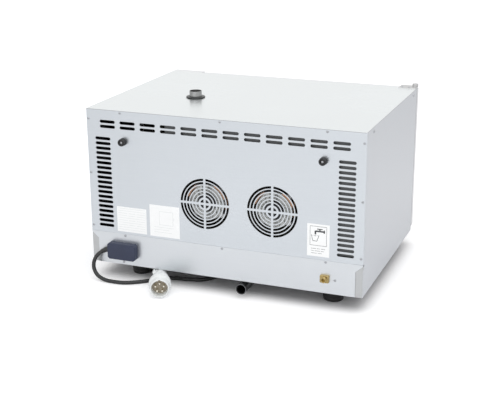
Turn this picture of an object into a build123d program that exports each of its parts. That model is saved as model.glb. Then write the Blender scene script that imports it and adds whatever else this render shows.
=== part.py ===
from build123d import *
import math
import os

# Countertop convection oven with a humidifier.
# X runs to the right as seen from the front, Y to the rear, Z up; the floor is at z = 0.
# All sizes are in millimetres.

os.makedirs("parts", exist_ok=True)

# ---------------------------------------------------------------- driving dimensions

# Cabinet
body_width = 800.0
body_depth = 596.0  # door face to rear panel
body_height = 450.0  # underside to top
foot_height = 50.0
middle = 15.0  # middle of the cabinet's depth, behind the origin
sheet = 1.0  # outer panels
heavy_sheet = 1.5  # base pan
seam = 0.5  # gap between neighbouring panels
front_depth = 24.0  # zone of the door and control panel, ahead of the front frame
tray_flange = 10.0  # folded edge of the rear panel
return_flange = 22.0  # inward fold at the rear of each side panel
down_flange = 16.0  # folds of the top cover
pan_flange = 20.0  # folds of the base pan
frame_sheet = 1.2

# Feet
foot_radius = 30.5
foot_taper = 3.0
foot_stem_radius = 5.0
foot_stem_head = 8.0
foot_inset_x = 108.0
foot_shift = -5.0  # the feet sit off centre, away from the controls' side
foot_inset_y = 85.0

# Rear panel and apron
apron_height = 92.5
apron_strip = 4.0  # full-width strip at the top of the apron
notch_width = 20.0
notch_slope = 17.0
joggle = 14.0  # fold of the rear panel that lies behind the apron
lip = 12.0  # fold along the apron's lower edge
slot_length = 46.5
slot_width = 8.6
top_slot_count = 12
top_slot_end = 64.5  # side of the cabinet to the centre of the outermost slot
top_slot_rows = (48.0, 34.0)  # below the top
side_slot_count = 19
side_slot_low = 21.0  # above the apron
side_slot_high = 82.7  # below the top
side_slot_inset = 48.4

# Fans, on the centre line of the cavity
fan_spacing = 195.0
fan_height = 210.5  # above the underside
grille_radius = 71.5
grille_ring = 6.4
grille_web = 2.9
grille_rings = 6
grille_eye = 13.2
spoke = 6.5

# Cavity
side_space = 50.0  # chamber to the side panel, and to the controls
cavity_height = 320.0
cavity_corner = 12.0
liner_sheet = 1.2
liner_flange = 14.0
weld_gap = 0.2  # butt seams between the four sheets of the chamber
motor_space = 130.0  # rear panel to the cavity's back wall
insulation_thickness = 24.0
baffle_space = 62.0  # baffle to back wall
baffle_side_gap = 35.0
baffle_end_gap = 6.0
intake_radius = 58.0
rack_levels = 4
rack_pitch = 75.0
rack_first = 45.0
rack_wire = 3.0
rack_post_gap = 9.0
ledge_reach = 21.0
shelf_depth = 340.0
shelf_wire = 1.6
shelf_pitch = 22.0
shelf_rest = 0.05  # above the ledges
lamp_radius = 30.0
lamp_depth = 16.0
lamp_holder_radius = 14.0
lamp_from_side = 70.0
lamp_from_front = 62.0

# Motors and rotors
shaft_radius = 5.0
running_gap = 0.05
air_gap = 0.6
rotor_radius = 22.0
core_size = 92.0
core_length = 32.0
coil_height = 13.0
shield_thickness = 5.0
shield_post_radius = 4.0
shield_post_offset = 36.0
impeller_radius = 50.0
impeller_eye = 24.0
impeller_sheet = 3.0
impeller_width = 11.0
wheel_radius = 80.0
wheel_width = 34.0
wheel_sheet = 1.2
element_radius = 92.0
element_wire = 3.6
element_half_gap = math.radians(12)  # half the angle between an element's two legs
element_from_back = 27.0

# Door
control_width = 100.0
door_gap = 3.0
door_thickness = 21.0
door_lift = 16.0  # underside of the cabinet to the door's lower edge
skin = 1.2
window_width = 500.0
window_height = 240.0
window_corner = 14.0
glass_outer = 5.0
glass_inner = 4.0
glass_lap = 26.0
stile = 12.0
pivot_inset_x = 9.0
pivot_inset_y = 7.0
pin_radius = 3.5
pin_reach = 26.0
hinge_block = (15.6, 11.0, 40.0)
bracket_length = 52.0
bracket_sheet = 2.5
bracket_boss = 9.0
handle_reach = 50.0
handle_radius = 11.0
handle_length = 320.0
handle_inset = 36.0
post_radius = 8.0
post_inset = 28.0
gasket_width = 12.0
gasket_gap = 0.3

# Controls
knob_radius = 25.0
knob_depth = 24.0
knob_gap = 1.5
knob_shaft_radius = 3.0
knob_shaft_length = 42.0
timer_height = 330.0
thermostat_height = 235.0
button_height = 140.0
button_radius = 9.0
button_reach = 6.0
button_travel = 4.0
button_length = 18.0
lamp_heights = (400.0, 418.0)
indicator_radius = 4.5
switch_depth = 44.0
switch_radius = 21.0

# Rear fittings
bumper_radius = 10.8
bumper_length = 15.0
bumper_insets = (111.0, 112.5)  # from the two sides of the cabinet
bumper_drops = (87.0, 84.5)  # below the top
bumper_seat = 4.0  # depth of the screw's recess
chimney_radius = 17.7
chimney_wall = 1.2
chimney_height = 19.0
chimney_from_wall = 80.0  # side wall of the chamber to the pipe
chimney_from_rear = 229.0
collar_radius = 27.5
collar_rim = 3.4
collar_lip = 2.5  # raised lip around the pipe
collar_height = 4.6
drain_radius = 15.0
drain_wall = 1.5
drain_drop = 20.0  # underside of the cabinet to the pipe's axis
drain_bend = 34.0
drain_offset = -11.0  # from the centre of the chamber
drain_from_rear = 300.0
drain_reach = 11.0
drain_bead = 1.0  # bead that stops a hose pushed over the pipe's end
drain_bead_from_rear = 40.0
flange_radius = 26.0  # of the drain and chimney pipes on the chamber
flange_sheet = 1.5
clip_from_rear = 70.0
inlet_from_side = 103.4
inlet_height = 41.8
inlet_radius = 8.3
inlet_bore = 5.0
inlet_reach = 15.0
inlet_plate = (25.0, 21.0)
inlet_plate_depth = 7.0
box_from_side = 56.2
box_size = (86.3, 47.4)
box_height = 19.6  # above the underside
box_depth = 20.0
box_wall = 2.2
box_chamfer = 5.0
box_bevel = 3.2
box_base = 3.0
wire_entry_radius = 8.0
tube_radius = 4.0
tube_height = 128.0
tube_from_rear = 20.0
label_thickness = 0.3
label_places = (  # side, distance from that side, width, lower edge, upper edge
    (1, 82.5, 92.0, 100.0, 174.0),
    (1, 185.0, 91.0, 99.0, 191.0),
    (-1, 92.5, 61.5, 102.0, 192.0),
)

# Fasteners
screw_radius = 1.75
screw_head = 3.6
screw_head_height = 1.9
screw_clearance = 0.25
bumper_screw_radius = 2.5
side_screw_head = 5.0  # larger heads on the side panels
screw_inset = 104.0  # from the sides, along the top edge and the apron
edge_screw_low = 17.5  # above the apron
edge_screw_high = 29.0  # below the top
box_screw_inset = 9.0

# Cable and plug
cable_radius = 5.6
cable_rest = 0.2  # above the floor
gland_radius = 8.5
gland_flange = 3.0
gland_boot_radius = 7.3
gland_length = 10.0
gland_height = 46.0  # above the underside
gland_tilt = 25.0  # the boot droops with the cable
plug_radius = 31.5  # of the collar behind the shroud
plug_shroud = 26.5
plug_mouth = 23.0
plug_neck = 17.5
plug_hollow = 11.5
plug_length = 140.0
plug_mouth_depth = 32.0
plug_tail_radius = 15.0
clamp_length = 28.0
lug_angle = 135.0
lug_width = 7.0
contact_pcd = 24.0
contact_radius = 2.6
contact_length = 26.0
plug_rest = 0.3
plug_heading = (-0.401, 0.916)
plug_tail = (-196.0, -38.5)  # from the cabinet's rear left corner

# ---------------------------------------------------------------- places worked out from them

half_w = body_width / 2
front_y = middle - body_depth / 2  # door face
rear_y = front_y + body_depth  # rear panel face
frame_y = front_y + front_depth  # face of the front frame
z0 = foot_height  # underside of the cabinet
z1 = z0 + body_height  # top of the cabinet

door_x0 = -half_w
door_x1 = half_w - control_width - door_gap
door_z0 = z0 + door_lift
door_z1 = z1 - door_gap
door_back = front_y + door_thickness
cavity_x = -control_width / 2
cavity_width = body_width - control_width - 2 * side_space
cavity_x0 = cavity_x - cavity_width / 2
cavity_x1 = cavity_x + cavity_width / 2
cavity_z = z0 + fan_height
cavity_z0 = cavity_z - cavity_height / 2
cavity_z1 = cavity_z + cavity_height / 2
cavity_front = frame_y + frame_sheet
back_y = rear_y - motor_space
fan_places = {"left": cavity_x - fan_spacing / 2, "right": cavity_x + fan_spacing / 2}
shield_y = back_y + liner_sheet + insulation_thickness + 2.0
core_y = shield_y + shield_thickness + coil_height + 3.0
shaft_end = core_y + core_length + coil_height + 3.0 + shield_thickness + impeller_width + 5.0
wheel_y = back_y - 12.0  # back plate of each cavity fan wheel
baffle_y = back_y - baffle_space
wall_x = cavity_x1 + liner_sheet + insulation_thickness
chimney_x = cavity_x1 - chimney_from_wall
chimney_y = rear_y - chimney_from_rear
drain_x = cavity_x + drain_offset
drain_y = rear_y - drain_from_rear
pivot_x = door_x0 + pivot_inset_x
pivot_y = front_y + pivot_inset_y
control_x = half_w - control_width / 2
screw_hole = screw_radius + screw_clearance
foot_places = [
    (sx * (half_w - foot_inset_x) + foot_shift, middle + sy * (body_depth / 2 - foot_inset_y))
    for sx in (-1, 1) for sy in (-1, 1)
]
rack_y0 = frame_y + 36.0
rack_y1 = baffle_y - 8.0
rack_heights = [cavity_z0 + rack_first + i * rack_pitch for i in range(rack_levels)]
lamp_place = (cavity_x1 - lamp_from_side, frame_y + lamp_from_front)
shield_posts = [
    (a * shield_post_offset, b * shield_post_offset) for a in (-1, 1) for b in (-1, 1)
]
element_legs = [
    (x + s * element_radius * math.sin(element_half_gap),
     cavity_z - element_radius * math.cos(element_half_gap))
    for x in fan_places.values() for s in (-1, 1)
]
window_at = (cavity_x, cavity_z)
handle_x = door_x1 - handle_inset
post_heights = [cavity_z + s * (handle_length / 2 - post_inset) for s in (-1, 1)]
button_stop = front_y - button_reach + button_length + button_travel + 1.5
button_stem_room = button_stop + 12.0
inlet_x = -half_w + inlet_from_side
tube_entry = (cavity_x, z0 + tube_height)
tube_y = rear_y - tube_from_rear
tube_z0 = z0 + inlet_height + 28.0
box_x = (half_w - box_from_side - box_size[0], half_w - box_from_side)
box_z = (z0 + box_height, z0 + box_height + box_size[1])
bumper_places = [
    (s * (half_w - inset), z1 - drop)
    for s, inset, drop in zip((1, -1), bumper_insets, bumper_drops)
]
gland_place = (box_x[1], rear_y + box_depth / 2 + 0.5, z0 + gland_height)
gland_heading = Vector(math.cos(math.radians(gland_tilt)), 0, -math.sin(math.radians(gland_tilt)))
gland_exit = Vector(*gland_place) + gland_heading * gland_length
wire_entry = ((box_x[0] + box_x[1]) / 2 - 20.0, (box_z[0] + box_z[1]) / 2 + 8.0)
apron_top = z0 + apron_height
notch_top = apron_top - apron_strip

screw_rows = (apron_top + edge_screw_low, (apron_top + z1) / 2 - 5.5, z1 - edge_screw_high)
top_edge_screws = [(s * (half_w - screw_inset), z1 - 7.0) for s in (-1, 0, 1)]
side_edge_screws = [(s * (half_w - 6.0), z) for s in (-1, 1) for z in screw_rows]
apron_screws = [(s * (half_w - screw_inset) - 2.0, apron_top - 4.5) for s in (-1, 0, 1)]
lip_screws = [(half_w - 98.0, z0 + 8.0), (-half_w + 75.5, z0 + 40.0)]
side_screws = [(middle + s * (body_depth / 2 - 69.0), z1 - 13.0) for s in (-1, 1)]
bracket_screws = [(-half_w + 22.0, frame_y + 12.0), (-half_w + 42.0, frame_y + 12.0)]
box_screws = [
    (box_x[0] + box_screw_inset, box_z[1] - box_screw_inset),
    (box_x[1] - box_screw_inset, box_z[0] + box_screw_inset),
]


# ---------------------------------------------------------------- helpers

def block(x0, x1, y0, y1, z_low, z_high):
    """Box between two opposite corners."""
    centre = Pos((x0 + x1) / 2, (y0 + y1) / 2, (z_low + z_high) / 2)
    return centre * Box(abs(x1 - x0), abs(y1 - y0), abs(z_high - z_low))


def rod(start, end, radius):
    """Round bar between two points."""
    a, b = Vector(*start), Vector(*end)
    plane = Plane(origin=a, z_dir=b - a)
    return plane * extrude(Circle(radius), (b - a).length)


def plate_y(outline, y0, y1):
    """Sketch drawn in X and Z, given a thickness along Y."""
    plane = Plane(origin=(0, y0, 0), x_dir=(1, 0, 0), z_dir=(0, -1, 0))
    return extrude(plane * outline, -(y1 - y0))


def plate_z(outline, z_low, z_high):
    """Sketch drawn in X and Y, given a thickness along Z."""
    return extrude(Plane.XY.offset(z_low) * outline, z_high - z_low)


def holes_2d(places, radius):
    """Circles at a list of places in a sketch."""
    return [Pos(a, b) * Circle(radius) for a, b in places]


def spread(first, last, count):
    """Evenly spaced values from first to last."""
    return [first + (last - first) * i / (count - 1) for i in range(count)]


def rounded(width, height, corner, at):
    """Rounded rectangle about a centre."""
    return Pos(*at) * RectangleRounded(width, height, corner)


def group(*shapes):
    """Separate solids kept side by side in one node."""
    return Compound([solid for shape in shapes for solid in shape.solids()])


def grille_2d(centre, outer, rings, ring, web):
    """Round grille: ring slots cut into quarters by four spokes, and an eye in the middle."""
    slots = Circle(grille_eye * outer / grille_radius)
    for i in range(rings):
        r = outer - i * (ring + web)
        slots += Circle(r) - Circle(r - ring)
    slots -= Rectangle(spoke, 2 * outer + ring)
    slots -= Rectangle(2 * outer + ring, spoke)
    return Pos(*centre) * slots


def screw(at, out, length, radius=screw_head):
    """Pan-head screw with a cross recess; the head stands out from the point along out."""
    head = extrude(Circle(radius), screw_head_height)
    head = fillet(head.edges().group_by(Axis.Z)[-1], screw_head_height * 0.6)
    head -= Pos(0, 0, screw_head_height) * Box(radius, 0.9, screw_head_height)
    head -= Pos(0, 0, screw_head_height) * Box(0.9, radius, screw_head_height)
    shank = Pos(0, 0, -length) * extrude(Circle(screw_radius), length)
    return Plane(origin=at, z_dir=out) * (head + shank)


# ---------------------------------------------------------------- cabinet

def make_base_pan():
    """Folded bottom sheet with holes for the feet and the drain."""
    x = half_w - sheet
    y0, y1 = frame_y + frame_sheet, rear_y - lip - seam
    pan = block(-x, x, y0, y1, z0, z0 + heavy_sheet)
    top = z0 + pan_flange
    pan += block(-x, -x + heavy_sheet, y0, y1, z0, top)
    pan += block(x - heavy_sheet, x, y0, y1, z0, top)
    pan += block(-x, x, y0, y0 + heavy_sheet, z0, top)
    pan += block(-x, x, y1 - heavy_sheet, y1, z0, top)
    for fx, fy in foot_places:
        pan -= rod((fx, fy, z0 - 1), (fx, fy, z0 + 5), foot_stem_radius + 0.2)
    slot = Pos(drain_x, drain_y + 4) * Rectangle(2 * drain_radius + 3, 2 * drain_radius + 12)
    pan -= plate_z(slot, z0 - 1, z0 + 5)
    clip_y = rear_y - clip_from_rear
    pan -= rod((drain_x, clip_y, z0 - 1), (drain_x, clip_y, z0 + 5), screw_hole)
    return pan


def make_rubber_feet():
    """Four tapered feet, each with a moulded stem that snaps into the base pan."""
    feet = []
    for x, y in foot_places:
        body = extrude(Circle(foot_radius), -foot_height, taper=math.degrees(
            math.atan(foot_taper / foot_height)))
        body = fillet(body.edges().group_by(Axis.Z)[0], 4)
        body += extrude(Circle(foot_stem_radius), heavy_sheet + 0.2)
        body += Pos(0, 0, heavy_sheet + 0.2) * extrude(Circle(foot_stem_head), 4)
        feet.append(Pos(x, y, z0) * body)
    return group(*feet)


def make_side_panel(side):
    """Side sheet with an inward fold along its rear edge, stepped out to fill the apron's notched corner."""
    y1 = rear_y - tray_flange - seam
    top = z1 - sheet
    panel = block(side * (half_w - sheet), side * half_w, frame_y, y1, z0, top)
    inner = side * (half_w - sheet - return_flange)
    panel += block(inner, side * half_w, y1 - sheet, y1, z0, top)
    edge = half_w - notch_width + seam
    low, strip_top = notch_top - notch_slope - seam, apron_top - joggle - seam
    strip = Polygon((side * edge, z0), (side * half_w, z0), (side * half_w, strip_top),
                    (side * (edge + (strip_top - low) * notch_width / notch_slope), strip_top),
                    (side * edge, low), align=None)
    panel += plate_y(strip, rear_y - 2 * sheet, rear_y - sheet)
    panel += block(side * (half_w - sheet), side * half_w, y1 - sheet, rear_y - sheet, z0, strip_top)
    panel += block(side * edge, side * (edge + sheet), y1 - sheet, rear_y - sheet, z0, low)
    for y, z in side_screws:
        panel -= rod((side * (half_w - 5), y, z), (side * (half_w + 1), y, z), screw_hole)
    for x, z in side_edge_screws:
        if x * side > 0:
            panel -= rod((x, y1 - 3, z), (x, y1 + 1, z), screw_hole)
    return panel


def make_top_cover():
    """Top sheet with a hole for the chimney and folds down inside the sides and the rear."""
    x = half_w - sheet
    low = z1 - sheet - down_flange
    flange_y1 = rear_y - tray_flange - seam - 2 * sheet
    cover = block(-half_w, half_w, frame_y, rear_y, z1 - sheet, z1)
    for side in (-1, 1):
        cover += block(side * (x - sheet), side * x, frame_y + frame_sheet, flange_y1, low, z1)
    rear_x = half_w - sheet - seam
    cover += block(-rear_x, rear_x, rear_y - 2 * sheet, rear_y - sheet, low, z1)
    hole = chimney_radius + 0.5
    cover -= rod((chimney_x, chimney_y, z1 - 3), (chimney_x, chimney_y, z1 + 1), hole)
    for y, z in side_screws:
        cover -= rod((-half_w, y, z), (half_w, y, z), screw_hole)
    for sx, z in top_edge_screws:
        cover -= rod((sx, rear_y - 4, z), (sx, rear_y, z), screw_hole)
    for sx, sy in bracket_screws:
        cover -= rod((sx, sy, z1 - 3), (sx, sy, z1 + 1), screw_hole)
    return cover


def make_rear_panel():
    """Rear tray: slots along the top, a slot column at each side and two fan grilles."""
    low, high = apron_top + seam, z1 - sheet
    face = Pos(0, (low + high) / 2) * Rectangle(body_width, high - low)
    top_x = spread(-half_w + top_slot_end, half_w - top_slot_end, top_slot_count)
    side_z = spread(apron_top + side_slot_low, z1 - side_slot_high, side_slot_count)
    places = [(x, z1 - drop) for drop in top_slot_rows for x in top_x]
    places += [(s * (half_w - side_slot_inset), z) for s in (-1, 1) for z in side_z]
    cuts = [Pos(*place) * SlotOverall(slot_length, slot_width) for place in places]
    for x in fan_places.values():
        cuts.append(grille_2d((x, cavity_z), grille_radius, grille_rings, grille_ring, grille_web))
    cuts += holes_2d(top_edge_screws + side_edge_screws, screw_hole)
    cuts += holes_2d(bumper_places, bumper_screw_radius + 0.2)
    panel = plate_y(face - cuts, rear_y - sheet, rear_y)
    for side in (-1, 1):
        x = side * half_w
        panel += block(x - side * sheet, x, rear_y - tray_flange, rear_y - sheet, low, high)
    strip_x = half_w - notch_width - 4
    strip = block(-strip_x, strip_x, rear_y - 2 * sheet, rear_y - sheet, apron_top - joggle, low + 5)
    for x, z in apron_screws:
        strip -= rod((x, rear_y - 4, z), (x, rear_y, z), screw_hole)
    return panel + strip


def make_rear_apron():
    """Lower rear sheet: full-width strip above, cut-away corners below, folded lips."""
    x, xn = half_w, half_w - notch_width
    slope_z = notch_top - notch_slope
    outline = Polygon(
        (-xn, z0), (xn, z0), (xn, slope_z), (x, notch_top), (x, apron_top),
        (-x, apron_top), (-x, notch_top), (-xn, slope_z), align=None)
    cuts = holes_2d(apron_screws + lip_screws + box_screws, screw_hole)
    cuts.append(Pos(inlet_x, z0 + inlet_height) * Circle(inlet_radius + 0.5))
    cuts.append(Pos(*wire_entry) * Circle(wire_entry_radius))
    apron = plate_y(outline - cuts, rear_y - sheet, rear_y)
    lip_x = half_w - sheet - return_flange - seam
    apron += block(-lip_x, lip_x, rear_y - lip, rear_y - sheet, z0, z0 + sheet)
    for side in (-1, 1):
        edge = side * xn
        back = rear_y - tray_flange
        apron += block(edge - side * sheet, edge, back, rear_y - sheet, z0, slope_z - 1)
    for sx, z in lip_screws[:1]:
        apron -= rod((sx, rear_y - 4, z), (sx, rear_y + 1, z), screw_hole)
    return apron


def make_front_frame():
    """Face sheet around the cavity opening, open behind the controls."""
    x = half_w - sheet
    low, high = z0, z1 - sheet
    face = Pos(0, (low + high) / 2) * Rectangle(2 * x, high - low)
    opening = rounded(cavity_width, cavity_height, cavity_corner, (cavity_x, cavity_z))
    controls = rounded(control_width - 30, body_height - 90, 6, (control_x - 2, (low + high) / 2 + 15))
    return plate_y(face - opening - controls, frame_y, cavity_front)


# ---------------------------------------------------------------- cavity

def make_cavity_liner():
    """Rounded oven chamber: floor, ceiling and two side sheets butt welded, flanged behind the front frame."""
    at = (cavity_x, cavity_z)
    outer = rounded(cavity_width + 2 * liner_sheet, cavity_height + 2 * liner_sheet,
                    cavity_corner + liner_sheet, at)
    inner = rounded(cavity_width, cavity_height, cavity_corner, at)
    rim = rounded(cavity_width + 2 * liner_flange, cavity_height + 2 * liner_flange,
                  cavity_corner + liner_flange, at)
    liner = plate_y(outer - inner, cavity_front, back_y)
    liner += plate_y(rim - inner, cavity_front, cavity_front + liner_sheet)
    low, high = cavity_z0 - 3, cavity_z1 + 3
    bore = drain_radius - drain_wall
    liner -= rod((drain_x, drain_y, low), (drain_x, drain_y, low + 6), bore)
    bore = chimney_radius - chimney_wall
    liner -= rod((chimney_x, chimney_y, high - 6), (chimney_x, chimney_y, high), bore)
    lamp_x, lamp_y = lamp_place
    liner -= rod((lamp_x, lamp_y, high - 6), (lamp_x, lamp_y, high), lamp_holder_radius + 0.3)
    low, high = cavity_z0 - liner_flange - 1, cavity_z1 + liner_flange + 1
    for x in (cavity_x0 + cavity_corner, cavity_x1 - cavity_corner - weld_gap):
        liner -= block(x, x + weld_gap, cavity_front - 1, back_y + 1, low, high)
    return group(*liner.solids())


def make_cavity_back():
    """Back wall of the chamber, with holes for the fan shafts, the elements and the water tube."""
    at = (cavity_x, cavity_z)
    outline = rounded(cavity_width + 2 * liner_sheet, cavity_height + 2 * liner_sheet,
                      cavity_corner + liner_sheet, at)
    cuts = [Pos(x, cavity_z) * Circle(shaft_radius + 2) for x in fan_places.values()]
    cuts += holes_2d(element_legs, element_wire + 0.3)
    cuts += holes_2d([tube_entry], tube_radius + 0.2)
    return plate_y(outline - cuts, back_y, back_y + liner_sheet)


def make_insulation():
    """Mineral wool slabs on the five closed sides of the chamber."""
    gap = 0.3
    x0, x1 = cavity_x0 - liner_sheet, cavity_x1 + liner_sheet
    low, high = cavity_z0 - liner_sheet, cavity_z1 + liner_sheet
    y0, y1 = cavity_front + liner_sheet + gap, back_y - gap
    t = insulation_thickness - 2 * gap
    top = block(x0, x1, y0, y1, high + gap, high + gap + t)
    top -= rod((chimney_x, chimney_y, high - 1), (chimney_x, chimney_y, high + 5), flange_radius + 1)
    top -= rod((chimney_x, chimney_y, high), (chimney_x, chimney_y, high + 40), chimney_radius + 1)
    lamp_x, lamp_y = lamp_place
    top -= rod((lamp_x, lamp_y, high), (lamp_x, lamp_y, high + 40), lamp_holder_radius + 5)
    bottom = block(x0, x1, y0, y1, low - gap - t, low - gap)
    bottom -= rod((drain_x, drain_y, low - 5), (drain_x, drain_y, low + 1), flange_radius + 1)
    bottom -= rod((drain_x, drain_y, low - 40), (drain_x, drain_y, low), drain_radius + 1)
    left = block(x0 - gap - t, x0 - gap, y0, y1, low, high)
    right = block(x1 + gap, x1 + gap + t, y0, y1, low, high)
    y2 = back_y + liner_sheet + gap
    rear = block(x0, x1, y2, y2 + t, low, high)
    for x in fan_places.values():
        rear -= rod((x, y2 - 1, cavity_z), (x, y2 + t + 1, cavity_z), shaft_radius + 3)
        for a, b in shield_posts:
            rear -= rod((x + a, y2 - 1, cavity_z + b), (x + a, y2 + t + 1, cavity_z + b),
                        shield_post_radius + 0.5)
    for x, z in element_legs:
        rear -= rod((x, y2 - 1, z), (x, y2 + t + 1, z), element_wire + 1)
    x, z = tube_entry
    rear -= rod((x, y2 - 1, z), (x, y2 + t + 1, z), tube_radius + 0.5)
    return group(top, bottom, left, right, rear)


def make_compartment_wall():
    """Sheet that shields the controls from the chamber."""
    y0, y1 = cavity_front, rear_y - motor_space + 30
    wall = block(wall_x, wall_x + frame_sheet, y0, y1, z0 + heavy_sheet, z1 - sheet)
    fold = block(wall_x, wall_x + 12, y0 + heavy_sheet, y1, z0 + heavy_sheet, z0 + 2 * heavy_sheet)
    for x, y in foot_places:
        fold -= rod((x, y, z0), (x, y, z0 + pan_flange), foot_stem_head + 1)
    return wall + fold - block(wall_x - 1, wall_x + 14, y0, y0 + heavy_sheet, z0, z0 + pan_flange)


def make_air_baffle():
    """Guard plate before the fans: an intake grille for each and open edges at the sides."""
    width = cavity_width - 2 * baffle_side_gap
    height = cavity_height - 2 * baffle_end_gap
    outline = rounded(width, height, 10, (cavity_x, cavity_z))
    cuts = [grille_2d((x, cavity_z), intake_radius, 5, 7.0, 4.4) for x in fan_places.values()]
    plate = plate_y(outline - cuts, baffle_y, baffle_y + liner_sheet)
    for sx in (-1, 1):
        for sz in (-1, 1):
            x = cavity_x + sx * (width / 2 - 18)
            z = cavity_z + sz * (height / 2 - 18)
            plate += rod((x, baffle_y, z), (x, back_y, z), 4)
    return plate


def make_shelf_racks():
    """Wire racks on the two side walls, with one ledge for each level."""
    racks = []
    for side, wall in ((1, cavity_x0), (-1, cavity_x1)):
        post_x = wall + side * rack_post_gap
        ledge_x = wall + side * ledge_reach
        posts_y = [rack_y0, (rack_y0 + rack_y1) / 2, rack_y1]
        low, high = rack_heights[0] - 20, rack_heights[-1] + 20
        rack = Part()
        for y in posts_y:
            rack += rod((post_x, y, low), (post_x, y, high), rack_wire)
            for z in (low + 8, high - 8):
                rack += rod((wall, y, z), (post_x, y, z), rack_wire - 0.5)
            for z in rack_heights:
                rack += rod((post_x, y, z), (ledge_x, y, z), rack_wire - 0.5)
        for z in rack_heights:
            rack += rod((ledge_x, rack_y0 - 6, z), (ledge_x, rack_y1 + 6, z), rack_wire)
        racks.append(rack)
    return group(*racks)


def make_wire_shelves():
    """Two equal wire shelves that lie on the ledges of the second and the fourth level."""
    reach = cavity_width / 2 - ledge_reach
    y0 = (rack_y0 + rack_y1 - shelf_depth) / 2
    y1 = y0 + shelf_depth
    z = rack_heights[1] + 2 * rack_wire + shelf_rest
    shelf = Part()
    for x in (cavity_x - reach, cavity_x + reach):
        shelf += rod((x, y0, z), (x, y1, z), rack_wire)
    for y in (y0 + rack_wire, y1 - rack_wire):
        shelf += rod((cavity_x - reach, y, z), (cavity_x + reach, y, z), rack_wire)
    count = int((2 * reach - 20) / shelf_pitch)
    for i in range(count + 1):
        x = cavity_x + (i - count / 2) * shelf_pitch
        shelf += rod((x, y0 + 1, z), (x, y1 - 1, z), shelf_wire)
    return group(shelf, Pos(0, 0, rack_heights[3] - rack_heights[1]) * shelf)


def make_lamp_holder():
    """Ceramic lamp holder with its bulb, through the ceiling of the chamber."""
    x, y = lamp_place
    low = cavity_z1 + liner_sheet
    holder = rod((x, y, low), (x, y, low + 42), lamp_holder_radius)
    holder += rod((x, y, low), (x, y, low + 3), lamp_holder_radius + 4)
    bulb = rod((x, y, cavity_z1 - 4), (x, y, low), 7)
    bulb += Pos(x, y, cavity_z1 - 4) * Sphere(7)
    return holder + bulb


def make_lamp_lens():
    """Glass cup that covers the bulb."""
    x, y = lamp_place
    cup = extrude(Circle(lamp_radius), -lamp_depth, taper=20)
    cup = fillet(cup.edges().group_by(Axis.Z)[0], 4)
    inner = extrude(Circle(lamp_radius - 4), -(lamp_depth - 3), taper=20)
    return Pos(x, y, cavity_z1) * (cup - inner)


# ---------------------------------------------------------------- fans and heating

def make_motor_cores():
    """Laminated stators: a square stack with a bore for the rotor and two coil windows."""
    cores = []
    for x in fan_places.values():
        outline = rounded(core_size, core_size, 8, (0, 0)) - Circle(rotor_radius + air_gap)
        for sx in (-1, 1):
            outline -= Pos(sx * 31.5, 0) * Rectangle(7.0, 44.0)
        cores.append(plate_y(Pos(x, cavity_z) * outline, core_y, core_y + core_length))
    return group(*cores)


def make_motor_windings():
    """Copper coils: two for each stator, wound through the windows and around the outer limbs."""
    coils = []
    for x in fan_places.values():
        for sx in (-1, 1):
            x_in = x + sx * 28.6
            x_out = x + sx * 34.4
            x_far = x + sx * (core_size / 2 + 0.5)
            x_end = x_far + sx * 6.0
            z = 21.5
            y0, y1 = core_y - coil_height, core_y + core_length + coil_height
            coil = block(x_in, x_end, y0, y1, cavity_z - z, cavity_z + z)
            coil = fillet(coil.edges().filter_by(Axis.Z), 5)
            coil -= block(x_out, x_far, core_y - 0.5, core_y + core_length + 0.5,
                          cavity_z - z - 1, cavity_z + z + 1)
            coils.append(coil)
    return group(*coils)


def shield_2d(x):
    """Outline of an end shield: a hub, four arms and a corner pad on each."""
    outline = Circle(15)
    for a, b in shield_posts:
        angle = math.degrees(math.atan2(b, a))
        reach = math.hypot(a, b)
        outline += Rot(0, 0, angle) * Pos(reach / 2, 0) * Rectangle(reach, 13)
        outline += Pos(a, b) * Circle(8)
    return Pos(x, cavity_z) * (outline - Circle(shaft_radius + running_gap))


def make_motor_shields():
    """End shields of the motors: the front ones stand on posts from the chamber's back wall."""
    shields = []
    core_end = core_y + core_length
    rear_shield = core_end + coil_height + 3.0
    for x in fan_places.values():
        front = plate_y(shield_2d(x), shield_y, shield_y + shield_thickness)
        rear = plate_y(shield_2d(x), rear_shield, rear_shield + shield_thickness)
        for a, b in shield_posts:
            at_x, at_z = x + a, cavity_z + b
            front += rod((at_x, back_y + liner_sheet, at_z), (at_x, core_y, at_z), shield_post_radius)
            rear += rod((at_x, core_end, at_z), (at_x, rear_shield, at_z), shield_post_radius)
        shields += [front, rear]
    return group(*shields)


def make_fan_shaft(x):
    """Motor shaft with its rotor core, from the cavity fan wheel to the cooling impeller."""
    shaft = rod((x, wheel_y - 14, cavity_z), (x, shaft_end, cavity_z), shaft_radius)
    return shaft + rod((x, core_y, cavity_z), (x, core_y + core_length, cavity_z), rotor_radius)


def make_cooling_impeller(x):
    """Impeller that draws air through the rear grille: hub, arms, flat ring and raised blades."""
    y1 = shaft_end - 1.0
    y0 = y1 - impeller_width
    ring_y = y0 + 2.0
    at = Pos(x, cavity_z)
    wheel = plate_y(at * (Circle(12) - Circle(shaft_radius)), y0, y1)
    arms = Circle(impeller_radius) - Circle(impeller_eye)
    for i in range(4):
        arms += Rot(0, 0, 45 + i * 90) * Pos(impeller_eye / 2 + 4, 0) * Rectangle(impeller_eye - 6, 7)
    wheel += plate_y(at * (arms - Circle(shaft_radius)), ring_y, ring_y + impeller_sheet)
    span = impeller_radius - impeller_eye - 5
    for i in range(16):
        blade = Pos(impeller_eye + 3 + span / 2, 0) * Rot(0, 0, 30) * Rectangle(span, 1.4)
        wheel += plate_y(at * Rot(0, 0, i * 22.5) * blade, ring_y, y1)
    return wheel


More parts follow.
